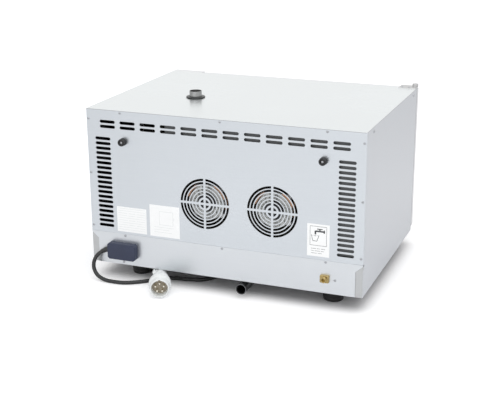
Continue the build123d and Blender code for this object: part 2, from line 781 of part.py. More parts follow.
def make_fan_wheel(x):
    """Radial fan wheel in the chamber: back plate, blades, front ring and hub."""
    at = Pos(x, cavity_z)
    y0 = wheel_y - wheel_width
    wheel = plate_y(at * (Circle(wheel_radius) - Circle(shaft_radius)), wheel_y, wheel_y + 2)
    wheel += plate_y(at * (Circle(wheel_radius) - Circle(wheel_radius - 14)), y0, y0 + wheel_sheet)
    wheel += plate_y(at * (Circle(11) - Circle(shaft_radius)), wheel_y - 12, wheel_y + 2)
    for i in range(12):
        blade = Pos(wheel_radius - 17, 0) * Rot(0, 0, 25) * Rectangle(32, wheel_sheet)
        wheel += plate_y(at * Rot(0, 0, i * 30) * blade, y0, wheel_y)
    limit = plate_y(at * Circle(wheel_radius), y0 - 1, wheel_y + 3)
    return wheel & limit


def make_heating_elements():
    """Ring elements around the fan wheels, with two legs each through the back wall."""
    elements = []
    y = back_y - element_from_back
    start = -90 + math.degrees(element_half_gap)
    sweep_angle = 360 - 2 * math.degrees(element_half_gap)
    for x in fan_places.values():
        plane = Plane(origin=(x, y, cavity_z), x_dir=(1, 0, 0), z_dir=(0, -1, 0))
        arc = plane * CenterArc((0, 0), element_radius, start, sweep_angle)
        ring = sweep(Plane(origin=arc @ 0, z_dir=arc % 0) * Circle(element_wire), path=arc)
        for s in (-1, 1):
            leg_x = x + s * element_radius * math.sin(element_half_gap)
            leg_z = cavity_z - element_radius * math.cos(element_half_gap)
            ring += rod((leg_x, y, leg_z), (leg_x, back_y + 40, leg_z), element_wire)
            ring += Pos(leg_x, y, leg_z) * Sphere(element_wire)
        elements.append(ring)
    return group(*elements)


# ---------------------------------------------------------------- rear fittings

def make_chimney_pipe():
    """Steam pipe from the ceiling of the chamber through the top cover."""
    low = cavity_z1 + liner_sheet
    x, y = chimney_x, chimney_y
    pipe = rod((x, y, low), (x, y, z1 + chimney_height), chimney_radius)
    pipe += rod((x, y, low), (x, y, low + flange_sheet), flange_radius)
    return pipe - rod((x, y, low - 1), (x, y, z1 + chimney_height + 1), chimney_radius - chimney_wall)


def make_chimney_collar():
    """Rubber collar that seals the pipe to the top cover: a round rim and a low lip at the pipe."""
    rim = fillet(extrude(Circle(collar_radius), collar_rim).edges(), collar_rim * 0.4)
    rise = collar_height - collar_rim + 1.0
    slope = math.degrees(math.atan(0.5 * collar_lip / rise))
    lip_ring = Pos(0, 0, collar_rim - 1.0) * extrude(Circle(chimney_radius + collar_lip), rise, taper=slope)
    collar = rim + lip_ring - Pos(0, 0, -1) * extrude(Circle(chimney_radius + 0.1), 2 * collar_height)
    return Pos(chimney_x, chimney_y, z1) * collar


def make_drain_pipe():
    """Drain from the floor of the chamber, down and along under the cabinet to the rear."""
    top = cavity_z0 - liner_sheet
    axis_z = z0 - drain_drop
    end = (drain_x, rear_y + drain_reach, axis_z)
    path = FilletPolyline((drain_x, drain_y, top), (drain_x, drain_y, axis_z), end, radius=drain_bend)
    start = Plane(origin=path @ 0, z_dir=path % 0)
    outer = sweep(start * Circle(drain_radius), path=path)
    inner = sweep(start * Circle(drain_radius - drain_wall), path=path)
    flange = rod((drain_x, drain_y, top - flange_sheet), (drain_x, drain_y, top), flange_radius)
    bead_y = rear_y - drain_bead_from_rear
    bead = rod((drain_x, bead_y - 1.5, axis_z), (drain_x, bead_y + 1.5, axis_z), drain_radius + drain_bead)
    return outer + flange + bead - inner


def make_drain_clip():
    """Steel saddle that hangs the drain pipe from the base pan."""
    y = rear_y - clip_from_rear
    axis_z = z0 - drain_drop
    ring = plate_y(Pos(drain_x, axis_z) * (Circle(drain_radius + 1.6) - Circle(drain_radius + 0.1)),
                   y - 8, y + 8)
    tab_low = axis_z + drain_radius + 0.8
    return ring + block(drain_x - 6, drain_x + 6, y - 8, y + 8, tab_low, z0)


def make_water_inlet():
    """Brass inlet: square shoulder against the apron and a threaded stub for the supply hose."""
    x, z = inlet_x, z0 + inlet_height
    body = plate_y(rounded(*inlet_plate, 2.0, (x, z)), rear_y, rear_y + inlet_plate_depth)
    body = chamfer(body.edges().group_by(Axis.Y)[-1], 1.0)
    body += rod((x, rear_y - 10, z), (x, rear_y + inlet_reach, z), inlet_radius)
    return body - rod((x, rear_y - 11, z), (x, rear_y + inlet_reach + 1, z), inlet_bore)


def make_water_valve():
    """Solenoid valve behind the inlet: body, coil and outlet spigot."""
    x, z = inlet_x, z0 + inlet_height
    y1 = rear_y - 10
    body = block(x - 19, x + 19, y1 - 52, y1, z - 17, z + 17)
    body = fillet(body.edges().filter_by(Axis.Y), 4)
    body += rod((x, y1 - 34, z + 17), (x, y1 - 34, z + 46), 15)
    return body + rod((x, tube_y, z + 17), (x, tube_y, tube_z0), 5.5)


def make_water_tube():
    """Tube that leads the water from the valve to the fans."""
    entry_x, entry_z = tube_entry
    path = FilletPolyline(
        (inlet_x, tube_y, tube_z0), (inlet_x, tube_y, entry_z),
        (entry_x, tube_y, entry_z), (entry_x, back_y - 8, entry_z), radius=18)
    return sweep(Plane(origin=path @ 0, z_dir=path % 0) * Circle(tube_radius), path=path)


def make_wall_bumpers():
    """Rubber distance pieces that keep the oven off the wall."""
    bumpers = []
    tip = rear_y + bumper_length
    for x, z in bumper_places:
        body = rod((x, rear_y, z), (x, tip, z), bumper_radius)
        body = fillet(body.edges().group_by(Axis.Y)[-1], 1.5)
        body -= rod((x, rear_y - 1, z), (x, tip + 1, z), bumper_screw_radius + 0.1)
        bumpers.append(body - rod((x, tip - bumper_seat, z), (x, tip + 1, z), screw_head + 1.6))
    return group(*bumpers)


def make_rear_labels():
    """Three thin plates on the rear panel: a data plate, a notice and a water tap plate."""
    return group(*[
        block(side * (half_w - near), side * (half_w - near - width),
              rear_y, rear_y + label_thickness, z0 + low, z0 + high)
        for side, near, width, low, high in label_places
    ])


def make_panel_screws():
    """Pan-head screws of the outer panels, the bumpers, the box cover and the hinge bracket."""
    screws = []
    for x, z in top_edge_screws + apron_screws + lip_screws:
        screws.append(screw((x, rear_y, z), (0, 1, 0), 6))
    for x, z in side_edge_screws:
        screws.append(screw((x, rear_y, z), (0, 1, 0), tray_flange + 4))
    for side in (-1, 1):
        for y, z in side_screws:
            screws.append(screw((side * half_w, y, z), (side, 0, 0), 6, side_screw_head))
    for x, y in bracket_screws:
        screws.append(screw((x, y, z1 + bracket_sheet), (0, 0, 1), 8))
    for x, z in box_screws:
        screws.append(screw((x, rear_y - sheet, z), (0, -1, 0), box_depth - box_wall - 1.0))
    for x, z in bumper_places:
        seat = rear_y + bumper_length - bumper_seat
        bolt = rod((x, rear_y - 8, z), (x, seat, z), bumper_screw_radius)
        screws.append(bolt + screw((x, seat, z), (0, 1, 0), 2))
    return group(*screws)


# ---------------------------------------------------------------- terminal box

def box_2d(inset):
    """Outline of the terminal box with cut corners."""
    (x0, x1), (low, high) = box_x, box_z
    width, height = x1 - x0 - 2 * inset, high - low - 2 * inset
    outline = chamfer(Rectangle(width, height).vertices(), box_chamfer - inset * 0.6)
    return Pos((x0 + x1) / 2, (low + high) / 2) * outline


def make_terminal_box_base():
    """Base plate of the terminal box, with the wire entry and a post for each screw."""
    outline = box_2d(0) - Pos(*wire_entry) * Circle(wire_entry_radius)
    return plate_y(outline - holes_2d(box_screws, screw_hole), rear_y, rear_y + box_base)


def make_terminal_box_cover():
    """Bevelled cover of the terminal box, with a hole for the gland."""
    y0, y1 = rear_y + box_base, rear_y + box_depth
    cover = plate_y(box_2d(0), y0, y1)
    cover = chamfer(cover.edges().group_by(Axis.Y)[-1], box_bevel)
    cover -= plate_y(box_2d(box_wall), y0 - 1, y1 - box_wall - box_bevel / 2)
    for x, z in box_screws:
        cover += rod((x, y0, z), (x, y1 - box_wall, z), 2 * screw_radius)
        cover -= rod((x, y0 - 1, z), (x, y1 - box_wall, z), screw_radius + 0.02)
    x, y, z = gland_place
    return cover - rod((x - 5, y, z), (x + 1, y, z), cable_radius + 0.3)


def make_terminal_strip():
    """Row of supply terminals inside the box."""
    x0, low, y0 = box_x[0] + 16.0, box_z[0] + 5.0, rear_y + box_base
    strip = block(x0, x0 + 52.0, y0, y0 + 9.0, low, low + 14.0)
    for i in range(4):
        x = x0 + 8.0 + i * 12.0
        strip -= rod((x, y0 + 4, low + 7), (x, y0 + 10, low + 7), 3)
    return strip


def make_cable_gland():
    """Rubber gland on the side of the box, with a boot that droops with the cable."""
    x, y, z = gland_place
    seat = Plane(origin=(x, y, z), x_dir=(0, 1, 0), z_dir=(1, 0, 0))
    boot = Plane(origin=gland_place, x_dir=(0, 1, 0), z_dir=gland_heading)
    gland = boot * extrude(Circle(gland_boot_radius), gland_length, taper=3)
    gland += seat * Sphere(gland_boot_radius)
    gland &= block(x, x + 2 * gland_length, y - gland_radius, y + gland_radius, z - 20, z + 20)
    gland += seat * extrude(Circle(gland_radius), gland_flange)
    return gland + rod((x - box_wall - 4, y, z), (x, y, z), cable_radius)


# ---------------------------------------------------------------- cable and plug

floor_z = cable_radius + cable_rest
axis_z = plug_radius + plug_rest
heading = Vector(*plug_heading, 0).normalized()
tail = Vector(half_w + plug_tail[0], rear_y + plug_tail[1], axis_z)
floor_run = [  # from the cabinet's rear left corner, with the height above the floor
    (-13.0, 18.5, 64.0),
    (-9.0, 22.5, 38.0),
    (-22.0, 26.5, 16.0),
    (-48.0, 30.0, floor_z),
    (-80.0, 32.5, floor_z),
    (-112.0, 29.5, floor_z),
    (-144.0, 11.5, floor_z),
    (-172.0, -11.5, floor_z),
    (-202.0, -39.5, floor_z),
    (-232.0, -55.5, floor_z),
    (-268.0, -57.5, floor_z),
    (-304.0, -65.5, floor_z),
    (-332.0, -89.5, floor_z),
    (-348.0, -129.5, floor_z),
    (-360.0, -185.5, floor_z),
    (-374.0, -243.5, floor_z),
    (-364.0, -305.5, floor_z),
    (-316.0, -347.5, floor_z),
    (-254.0, -345.5, floor_z),
    (-210.0, -301.5, floor_z),
    (-192.0, -243.5, floor_z),
    (-166.0, -189.5, floor_z),
    (-156.0, -137.5, 16.0),
]
cable_points = [
    tuple(gland_exit),
    tuple(gland_exit + gland_heading * 21),
    *[(half_w + x, rear_y + y, z) for x, y, z in floor_run],
    tuple(tail - heading * 48),
    tuple(tail),
]


def cord_radii(points):
    """Radius of each bend, as large as its two runs allow."""
    radii = []
    for a, b, c in zip(points, points[1:], points[2:]):
        first, second = Vector(*b) - Vector(*a), Vector(*c) - Vector(*b)
        half_turn = math.radians(first.get_angle(second)) / 2
        radii.append(0.45 * min(first.length, second.length) / math.tan(half_turn))
    return radii


def make_mains_cable():
    """Supply cable from the gland, down to the floor and round to the plug."""
    radii = cord_radii(cable_points)
    print("cable bend radii:", [round(r) for r in radii])
    path = FilletPolyline(*cable_points, radius=radii)
    cable = sweep(Plane(origin=path @ 0, z_dir=path % 0) * Circle(cable_radius), path=path)
    ratio = cable.volume / (math.pi * cable_radius ** 2 * path.length)
    print("cable length:", round(path.length), "volume against section times length:", round(ratio, 4))
    return cable


# Plug pieces are drawn along Z from the cable end, with Y as the plug's upper side.
plug_plane = Plane(origin=tail, x_dir=(-heading.Y, heading.X, 0), z_dir=heading)
insert_z = plug_length - plug_mouth_depth
contact_places = [
    (contact_pcd / 2 * math.cos(math.radians(a)), contact_pcd / 2 * math.sin(math.radians(a)))
    for a in range(90, 450, 72)
]


def make_plug_shell():
    """Plug body: a shroud around the contacts, a wider collar and a neck with a locking lug."""
    r, low, end = plug_radius, clamp_length, plug_length
    neck = plug_neck
    profile = Polygon(
        (0, low), (neck, low), (neck + 0.5, low + 18), (r - 1, end - 44), (r, end - 38), (r, end - 26),
        (plug_shroud + 1, end - 20), (plug_shroud, end), (plug_mouth, end), (plug_mouth, insert_z),
        (plug_hollow, insert_z - 10), (plug_hollow, low + 6), (0, low + 6), align=None)
    shell = revolve(Plane.XZ * profile, Axis.Z)
    shell = fillet(shell.edges().group_by(Axis.Z)[-1], 1.0)
    lug = Pos(neck + 1.5, 0, low + 28) * Box(18, lug_width, 22)
    lug += Pos(neck - 2.0, 0, low + 8) * Box(8, lug_width, 20)
    lug -= Pos(neck + 6.0, 0, low + 30) * Rot(90, 0, 0) * Cylinder(2.2, 12)
    lug -= Cylinder(neck - 1.0, 4 * low)
    key = Pos(0, plug_mouth + 0.9, end - 12) * Box(6, 3.4, 26)
    return plug_plane * (shell + Rot(0, 0, lug_angle) * lug - key)


def make_plug_insert():
    """Insert that carries the contacts."""
    cone_low, cone_high = insert_z - 10, insert_z
    profile = Polygon(
        (0, cone_low), (plug_hollow - 0.1, cone_low), (plug_mouth - 0.1, cone_high),
        (plug_mouth - 0.1, cone_high + 6), (0, cone_high + 6), align=None)
    insert = revolve(Plane.XZ * profile, Axis.Z)
    for x, y in contact_places:
        insert -= Pos(x, y, cone_low + 4) * extrude(Circle(contact_radius), 20)
    return plug_plane * insert


def make_plug_contacts():
    """Five round contact pins."""
    pins = []
    for x, y in contact_places:
        pin = extrude(Circle(contact_radius), contact_length + 6)
        pin = fillet(pin.edges().group_by(Axis.Z)[-1], 1.2)
        pins.append(plug_plane * Pos(x, y, insert_z - 6) * pin)
    return group(*pins)


def make_plug_clamp():
    """Ribbed cable clamp nut at the tail."""
    nut = extrude(Circle(plug_tail_radius - 3), clamp_length, taper=-6)
    for i in range(12):
        groove = Rot(0, 0, i * 30) * Pos(plug_tail_radius + 1.2, 0, clamp_length / 2)
        nut -= groove * Box(2.4, 2.2, clamp_length + 1)
    return plug_plane * nut


# ---------------------------------------------------------------- door

def make_door_shell():
    """Outer door tray with the window opening."""
    low, high = door_z0, door_z1
    centre = ((door_x0 + door_x1) / 2, (low + high) / 2)
    outline = Pos(*centre) * Rectangle(door_x1 - door_x0, high - low)
    window = rounded(window_width, window_height, window_corner, window_at)
    shell = plate_y(outline - window, front_y, front_y + skin)
    rim = outline - Pos(*centre) * Rectangle(door_x1 - door_x0 - 2 * skin, high - low - 2 * skin)
    shell += plate_y(rim, front_y, door_back)
    for z in (low, high):
        shell -= rod((pivot_x, pivot_y, z - 2), (pivot_x, pivot_y, z + 2), pin_radius + 0.5)
    for z in post_heights:
        shell -= rod((handle_x, front_y - 1, z), (handle_x, front_y + 2, z), 3.2)
    return shell


def make_door_inner_panel():
    """Inner door sheet with a stiffening frame around the glass."""
    low, high = door_z0 + skin, door_z1 - skin
    x0, x1 = door_x0 + skin, door_x1 - skin
    outline = Pos((x0 + x1) / 2, (low + high) / 2) * Rectangle(x1 - x0, high - low)
    window = rounded(window_width, window_height, window_corner, window_at)
    panel = plate_y(outline - window, door_back - skin, door_back)
    ring_in = rounded(window_width + 2 * glass_lap, window_height + 2 * glass_lap, 6, window_at)
    ring_out = rounded(window_width + 2 * (glass_lap + stile), window_height + 2 * (glass_lap + stile),
                       10, window_at)
    return panel + plate_y(ring_out - ring_in, front_y + skin + glass_outer, door_back - skin)


def make_door_glass():
    """Outer and inner pane; each overlaps the window opening on every side."""
    panes = []
    inner_y = door_back - skin - glass_inner
    for y, thickness, lap in (
            (front_y + skin, glass_outer, glass_lap + 6), (inner_y, glass_inner, glass_lap - 1)):
        pane = rounded(window_width + 2 * lap, window_height + 2 * lap, 5, window_at)
        panes.append(plate_y(pane, y, y + thickness))
    return group(*panes)


def make_door_hinge_blocks():
    """Steel blocks inside the door's edge that turn on the hinge pins."""
    width, depth, height = hinge_block
    x0, y0 = door_x0 + skin, front_y + skin
    blocks = []
    for low in (door_z0 + skin, door_z1 - skin - height):
        body = block(x0, x0 + width, y0, y0 + depth, low, low + height)
        bore = pin_radius + running_gap
        blocks.append(body - rod((pivot_x, pivot_y, low - 1), (pivot_x, pivot_y, low + height + 1), bore))
    return group(*blocks)


def make_door_handle():
    """Round bar on two posts."""
    bar_y = front_y - handle_reach + handle_radius
    low, high = cavity_z - handle_length / 2, cavity_z + handle_length / 2
    handle = rod((handle_x, bar_y, low), (handle_x, bar_y, high), handle_radius)
    handle = fillet(handle.edges(), 3)
    for z in post_heights:
        handle += rod((handle_x, front_y, z), (handle_x, bar_y, z), post_radius)
        handle += rod((handle_x, front_y + 10, z), (handle_x, front_y, z), 3.0)
    return handle


def make_hinge_brackets():
    """Fixed hinge plates above and below the door, each with its pin."""
    x0 = -half_w + 1.0
    top = block(x0, x0 + bracket_length - 1, front_y + 1, frame_y + 22, z1, z1 + bracket_sheet)
    top += rod((pivot_x, pivot_y, door_z1 - pin_reach), (pivot_x, pivot_y, z1 + 1), pin_radius)
    top += rod((pivot_x, pivot_y, z1), (pivot_x, pivot_y, z1 + bracket_sheet + 6.5), bracket_boss)
    for x, y in bracket_screws:
        top -= rod((x, y, z1 - 1), (x, y, z1 + bracket_sheet + 1), screw_hole)
    high = door_z0 - 2.0
    low_plate = block(x0, x0 + 70, front_y + 1, frame_y, high - bracket_sheet, high)
    low_plate += block(x0, x0 + 70, frame_y - bracket_sheet, frame_y, z0 + 1, high)
    low_plate += rod((pivot_x, pivot_y, high - 1), (pivot_x, pivot_y, door_z0 + pin_reach), pin_radius)
    low_plate += rod((pivot_x, pivot_y, high - 1), (pivot_x, pivot_y, door_z0 - 0.3), 6.0)
    return group(top, low_plate)


def make_door_gasket():
    """Seal around the cavity opening, just clear of the closed door."""
    inner = rounded(cavity_width + 8, cavity_height + 8, cavity_corner + 4, window_at)
    outer = rounded(cavity_width + 8 + 2 * gasket_width, cavity_height + 8 + 2 * gasket_width,
                    cavity_corner + 4 + gasket_width, window_at)
    return plate_y(outer - inner, door_back + gasket_gap, frame_y)


def make_door_magnets():
    """Magnet bars on the front frame that hold the door shut."""
    x0 = cavity_x1 + 4 + gasket_width + 6
    bars = [
        block(x0, x0 + 14, door_back + gasket_gap, frame_y, z - 30, z + 30)
        for z in (cavity_z - 110, cavity_z + 110)
    ]
    return group(*bars)


# ---------------------------------------------------------------- controls

def make_control_panel():
    """Folded panel beside the door that carries the controls."""
    x0, x1 = half_w - control_width, half_w
    low, high = z0 + door_lift, z1
    centre = ((x0 + x1) / 2, (low + high) / 2)
    outline = Pos(*centre) * Rectangle(x1 - x0, high - low)
    inner = Pos(*centre) * Rectangle(x1 - x0 - 2 * skin, high - low - 2 * skin)
    cuts = holes_2d([(control_x, z0 + timer_height), (control_x, z0 + thermostat_height)],
                    knob_shaft_radius + 1.0)
    cuts += holes_2d([(control_x, z0 + button_height)], button_radius + 0.3)
    cuts += holes_2d([(control_x, z0 + h) for h in lamp_heights], indicator_radius + 0.1)
    return plate_y(outline - cuts, front_y, front_y + skin) + plate_y(outline - inner, front_y, frame_y)


def make_indicator_lamps():
    """Indicator lamps in the control panel."""
    lamps = []
    for h in lamp_heights:
        z = z0 + h
        lens = rod((control_x, front_y + 12, z), (control_x, front_y - 3, z), indicator_radius)
        lens = fillet(lens.edges().group_by(Axis.Y)[0], 2.0)
        lamps.append(lens + rod((control_x, front_y + skin, z), (control_x, front_y + 4, z), 6.5))
    return group(*lamps)


def make_control_bodies():
    """Timer, thermostat and button switch behind the control panel."""
    y0, y1 = front_y + skin, front_y + skin + switch_depth
    bodies = []
    for h in (timer_height, thermostat_height):
        z = z0 + h
        body = rod((control_x, y0, z), (control_x, y1, z), switch_radius)
        bodies.append(body - rod((control_x, y0 - 1, z), (control_x, y1 - 4, z),
                                 knob_shaft_radius + running_gap))
    z = z0 + button_height
    body = rod((control_x, y0, z), (control_x, y1, z), button_radius + 5)
    body -= rod((control_x, y0 - 1, z), (control_x, button_stop, z), button_radius + 0.3)
    bodies.append(body - rod((control_x, y0, z), (control_x, button_stem_room, z),
                             knob_shaft_radius + running_gap))
    return group(*bodies)


def make_knob(height):
    """Knob with a skirt, a grip bar across it and its shaft; the pointer is up at rest."""
    face = front_y - knob_gap
    at = Pos(control_x, z0 + height)
    knob = plate_y(at * Circle(knob_radius), face - 7, face)
    knob = fillet(knob.edges().group_by(Axis.Y)[0], 2)
    grip = at * RectangleRounded(11, 2 * knob_radius - 3, 4)
    body = plate_y(grip, face - knob_depth, face - 4)
    body = fillet(body.edges().group_by(Axis.Y)[0], 1.5)
    shaft = rod((control_x, face - 4, z0 + height),
                (control_x, face - 4 + knob_shaft_length, z0 + height), knob_shaft_radius)
    return knob + body + shaft


def make_humidity_button():
    """Push button that lets water in; it travels towards the switch."""
    z = z0 + button_height
    y0 = front_y - button_reach
    cap = rod((control_x, y0, z), (control_x, y0 + button_length, z), button_radius)
    cap = fillet(cap.edges().group_by(Axis.Y)[0], 1.5)
    end = button_stem_room - button_travel - 1
    return cap + rod((control_x, y0 + button_length - 1, z), (control_x, end, z), knob_shaft_radius)


def make_contactor():
    """Power contactor on the compartment wall."""
    x0 = wall_x + frame_sheet
    body = block(x0, x0 + 58, middle - 30, middle + 20, z0 + 190, z0 + 270)
    return body + block(x0 + 58, x0 + 66, middle - 22, middle + 12, z0 + 202, z0 + 258)


# ---------------------------------------------------------------- build

pieces = {
    "base_pan": make_base_pan(),
    "rubber_feet": make_rubber_feet(),
    "side_panel_left": make_side_panel(-1),
    "side_panel_right": make_side_panel(1),
    "top_cover": make_top_cover(),
    "rear_panel": make_rear_panel(),
    "rear_apron": make_rear_apron(),
    "front_frame": make_front_frame(),
    "panel_screws": make_panel_screws(),
    "cavity_liner": make_cavity_liner(),
    "cavity_back": make_cavity_back(),
    "insulation": make_insulation(),
    "compartment_wall": make_compartment_wall(),
    "air_baffle": make_air_baffle(),
    "shelf_racks": make_shelf_racks(),
    "wire_shelves": make_wire_shelves(),
    "lamp_holder": make_lamp_holder(),
    "lamp_lens": make_lamp_lens(),
    "motor_cores": make_motor_cores(),
    "motor_windings": make_motor_windings(),
    "motor_shields": make_motor_shields(),
    "heating_elements": make_heating_elements(),
    "chimney_pipe": make_chimney_pipe(),
    "chimney_collar": make_chimney_collar(),
    "drain_pipe": make_drain_pipe(),
    "drain_clip": make_drain_clip(),
    "water_inlet": make_water_inlet(),
    "water_valve": make_water_valve(),
    "water_tube": make_water_tube(),
    "wall_bumpers": make_wall_bumpers(),
    "rear_labels": make_rear_labels(),
    "terminal_box_base": group(make_terminal_box_base(), make_terminal_strip()),
    "terminal_box_cover": make_terminal_box_cover(),
    "cable_gland": make_cable_gland(),
    "mains_cable": make_mains_cable(),
    "plug_shell": make_plug_shell(),
    "plug_insert": make_plug_insert(),
    "plug_contacts": make_plug_contacts(),
    "plug_clamp": make_plug_clamp(),
    "door_shell": make_door_shell(),
    "door_inner_panel": make_door_inner_panel(),
    "door_glass": make_door_glass(),
    "door_hinge_blocks": make_door_hinge_blocks(),
    "door_handle": make_door_handle(),
    "hinge_brackets": make_hinge_brackets(),
    "door_gasket": make_door_gasket(),
    "door_magnets": make_door_magnets(),
    "control_panel": make_control_panel(),
    "indicator_lamps": make_indicator_lamps(),
    "control_bodies": make_control_bodies(),
    "timer_knob": make_knob(timer_height),
    "thermostat_knob": make_knob(thermostat_height),
    "humidity_button": make_humidity_button(),
    "contactor": make_contactor(),
}
for side, x in fan_places.items():
    pieces[f"fan_shaft_{side}"] = make_fan_shaft(x)
    pieces[f"cooling_impeller_{side}"] = make_cooling_impeller(x)
    pieces[f"fan_wheel_{side}"] = make_fan_wheel(x)

for name, shape in pieces.items():
    export_step(shape, f"parts/{name}.step")
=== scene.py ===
import math

import bmesh
import bpy
from mathutils import Matrix, Quaternion, Vector


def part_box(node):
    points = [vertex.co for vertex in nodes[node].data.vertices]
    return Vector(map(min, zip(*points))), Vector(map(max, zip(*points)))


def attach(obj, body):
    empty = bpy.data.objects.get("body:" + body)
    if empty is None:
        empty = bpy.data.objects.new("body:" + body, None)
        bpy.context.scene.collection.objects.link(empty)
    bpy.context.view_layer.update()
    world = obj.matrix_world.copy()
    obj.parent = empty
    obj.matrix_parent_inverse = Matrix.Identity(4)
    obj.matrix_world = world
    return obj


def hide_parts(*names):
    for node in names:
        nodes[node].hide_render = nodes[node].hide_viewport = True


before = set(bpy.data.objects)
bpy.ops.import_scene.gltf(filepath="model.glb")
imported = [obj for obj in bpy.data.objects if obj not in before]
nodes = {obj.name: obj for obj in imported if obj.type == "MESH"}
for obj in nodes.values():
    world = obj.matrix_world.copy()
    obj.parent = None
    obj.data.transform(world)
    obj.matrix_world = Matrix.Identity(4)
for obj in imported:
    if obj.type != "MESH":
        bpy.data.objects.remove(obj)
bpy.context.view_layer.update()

# Countertop convection oven, dressed over its CAD frame.
# Metres; X to the right as seen from the front, Y to the rear, Z up.

mm = 0.001

# ---------------------------------------- sizes that the CAD gives

rear_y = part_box("rear_panel")[1].y
top_low, top_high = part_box("top_cover")
top_z = top_high.z


# ---------------------------------------- objects and pieces

def islands(node):
    """Lowest and highest corner of each loose part of a CAD node, in its vertices' order."""
    shape = bmesh.new()
    shape.from_mesh(nodes[node].data)
    bmesh.ops.remove_doubles(shape, verts=shape.verts, dist=1e-6)
    waiting = set(shape.verts)
    boxes = []
    for first in shape.verts:
        if first not in waiting:
            continue
        waiting.discard(first)
        reached, edge = {first}, [first]
        while edge:
            found = {e.other_vert(v) for v in edge for e in v.link_edges} & waiting
            waiting -= found
            reached |= found
            edge = list(found)
        low = Vector(min(v.co[i] for v in reached) for i in range(3))
        high = Vector(max(v.co[i] for v in reached) for i in range(3))
        boxes.append((low, high))
    shape.free()
    return boxes


def new_object(name, data):
    """Object of a mesh, curve, camera or light, linked to the scene."""
    item = bpy.data.objects.new(name, data)
    bpy.context.scene.collection.objects.link(item)
    return item


def evaluated(item):
    """Object with its modifiers applied, or its text as a shape."""
    return item.evaluated_get(bpy.context.evaluated_depsgraph_get())


def placed(name, mesh, smooth, body, stands_for):
    """Piece smooth up to an angle in degrees, riding on its body, standing for CAD nodes."""
    mesh.shade_smooth()
    mesh.set_sharp_from_angle(angle=math.radians(smooth))
    piece = new_object(name, mesh)
    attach(piece, body)
    if stands_for:
        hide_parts(*stands_for)


def mesh_piece(name, shape, material, body="cabinet", stands_for=()):
    """New piece from a bmesh, with one material, riding on a body."""
    mesh = bpy.data.meshes.new(name)
    shape.to_mesh(mesh)
    shape.free()
    mesh.materials.append(material)
    placed(name, mesh, 40, body, stands_for)


# ---------------------------------------- shapes

def softened(points, radius, steps=3, closed=True):
    """Profile with each corner replaced by a short curve."""
    result = []
    for i, point in enumerate(points):
        corner = Vector(point)
        if not closed and i in (0, len(points) - 1):
            result.append(tuple(corner))
            continue
        back = Vector(points[i - 1]) - corner
        ahead = Vector(points[(i + 1) % len(points)]) - corner
        reach = min(radius, 0.45 * back.length, 0.45 * ahead.length)
        start, end = corner + back.normalized() * reach, corner + ahead.normalized() * reach
        for step in range(steps + 1):
            t = step / steps
            result.append(tuple(start * (1 - t) ** 2 + corner * 2 * t * (1 - t) + end * t ** 2))
    return result


def walls(shape, near, far):
    """Faces between two rings that have equally many vertices."""
    ahead = [(i, (i + 1) % len(near)) for i in range(len(near))]
    return [shape.faces.new((near[i], near[j], far[j], far[i])) for i, j in ahead]


def lathe(shape, profile, place, out, segments=48, ring=False, ripple=None):
    """Profile of radius and height in mm, spun about an axis through place along out.

    A ring's profile closes on itself. A ripple is a count of waves, their depth in mm and the
    radius beyond which they are cut.
    """
    axis = Vector(out).normalized()
    side = Vector((0, 0, 1)) if abs(axis.z) < 0.5 else Vector((1, 0, 0))
    side = (side - axis * side.dot(axis)).normalized()
    other = axis.cross(side)
    rows = []
    for radius, height in profile:
        centre = Vector(place) + axis * height * mm
        if radius < 1e-4:
            rows.append([shape.verts.new(centre)])
            continue
        row = []
        for i in range(segments):
            angle = 2 * math.pi * i / segments
            r = radius
            if ripple and radius > ripple[2]:
                r -= ripple[1] * (0.5 + 0.5 * math.cos(angle * ripple[0]))
            spoke = side * math.cos(angle) + other * math.sin(angle)
            row.append(shape.verts.new(centre + spoke * r * mm))
        rows.append(row)
    new = []
    for a, b in zip(rows, rows[1:] + rows[:1]):
        if b is rows[0] and not ring:
            break
        for i in range(segments):
            j = (i + 1) % segments
            loop = [a[i % len(a)], a[j % len(a)], b[j % len(b)], b[i % len(b)]]
            loop = list(dict.fromkeys(loop))
            if len(loop) > 2:
                new.append(shape.faces.new(loop))
    bmesh.ops.recalc_face_normals(shape, faces=new)
    return shape


def prism(shape, outline, y0, y1, bevel=0.0, steps=3):
    """Outline in X and Z given a thickness along Y; the edges at y1 may be bevelled."""
    near = [shape.verts.new((x, y0, z)) for x, z in outline]
    far = [shape.verts.new((x, y1, z)) for x, z in outline]
    new = [shape.faces.new(near), shape.faces.new(far)] + walls(shape, near, far)
    bmesh.ops.recalc_face_normals(shape, faces=new)
    if bevel:
        rim = [e for e in shape.edges if e.verts[0] in far and e.verts[1] in far]
        bmesh.ops.bevel(shape, geom=rim, offset=bevel, segments=steps, profile=0.5, affect="EDGES")
    return shape


def rectangle(x0, x1, z0, z1, corner=0.0, steps=4):
    """Rectangle outline with rounded corners, anticlockwise."""
    if not corner:
        return [(x0, z0), (x1, z0), (x1, z1), (x0, z1)]
    points = []
    for x, z, start in ((x1 - corner, z0 + corner, -90), (x1 - corner, z1 - corner, 0),
                        (x0 + corner, z1 - corner, 90), (x0 + corner, z0 + corner, 180)):
        for i in range(steps + 1):
            angle = math.radians(start + 90 * i / steps)
            points.append((x + corner * math.cos(angle), z + corner * math.sin(angle)))
    return points


def inset(x0, x1, z0, z1, edge, corner=0.0):
    """Rectangle outline that lies inside another by an edge."""
    return rectangle(x0 + edge, x1 - edge, z0 + edge, z1 - edge, corner)


def frame_of(shape, outer, inner, y0, y1):
    """Flat frame between two outlines that have equally many points."""
    rows = [[shape.verts.new((x, y, z)) for x, z in line]
            for line in (outer, inner) for y in (y0, y1)]
    new = []
    for a, b in ((0, 1), (1, 3), (3, 2), (2, 0)):
        new += walls(shape, rows[a], rows[b])
    bmesh.ops.recalc_face_normals(shape, faces=new)
    return shape


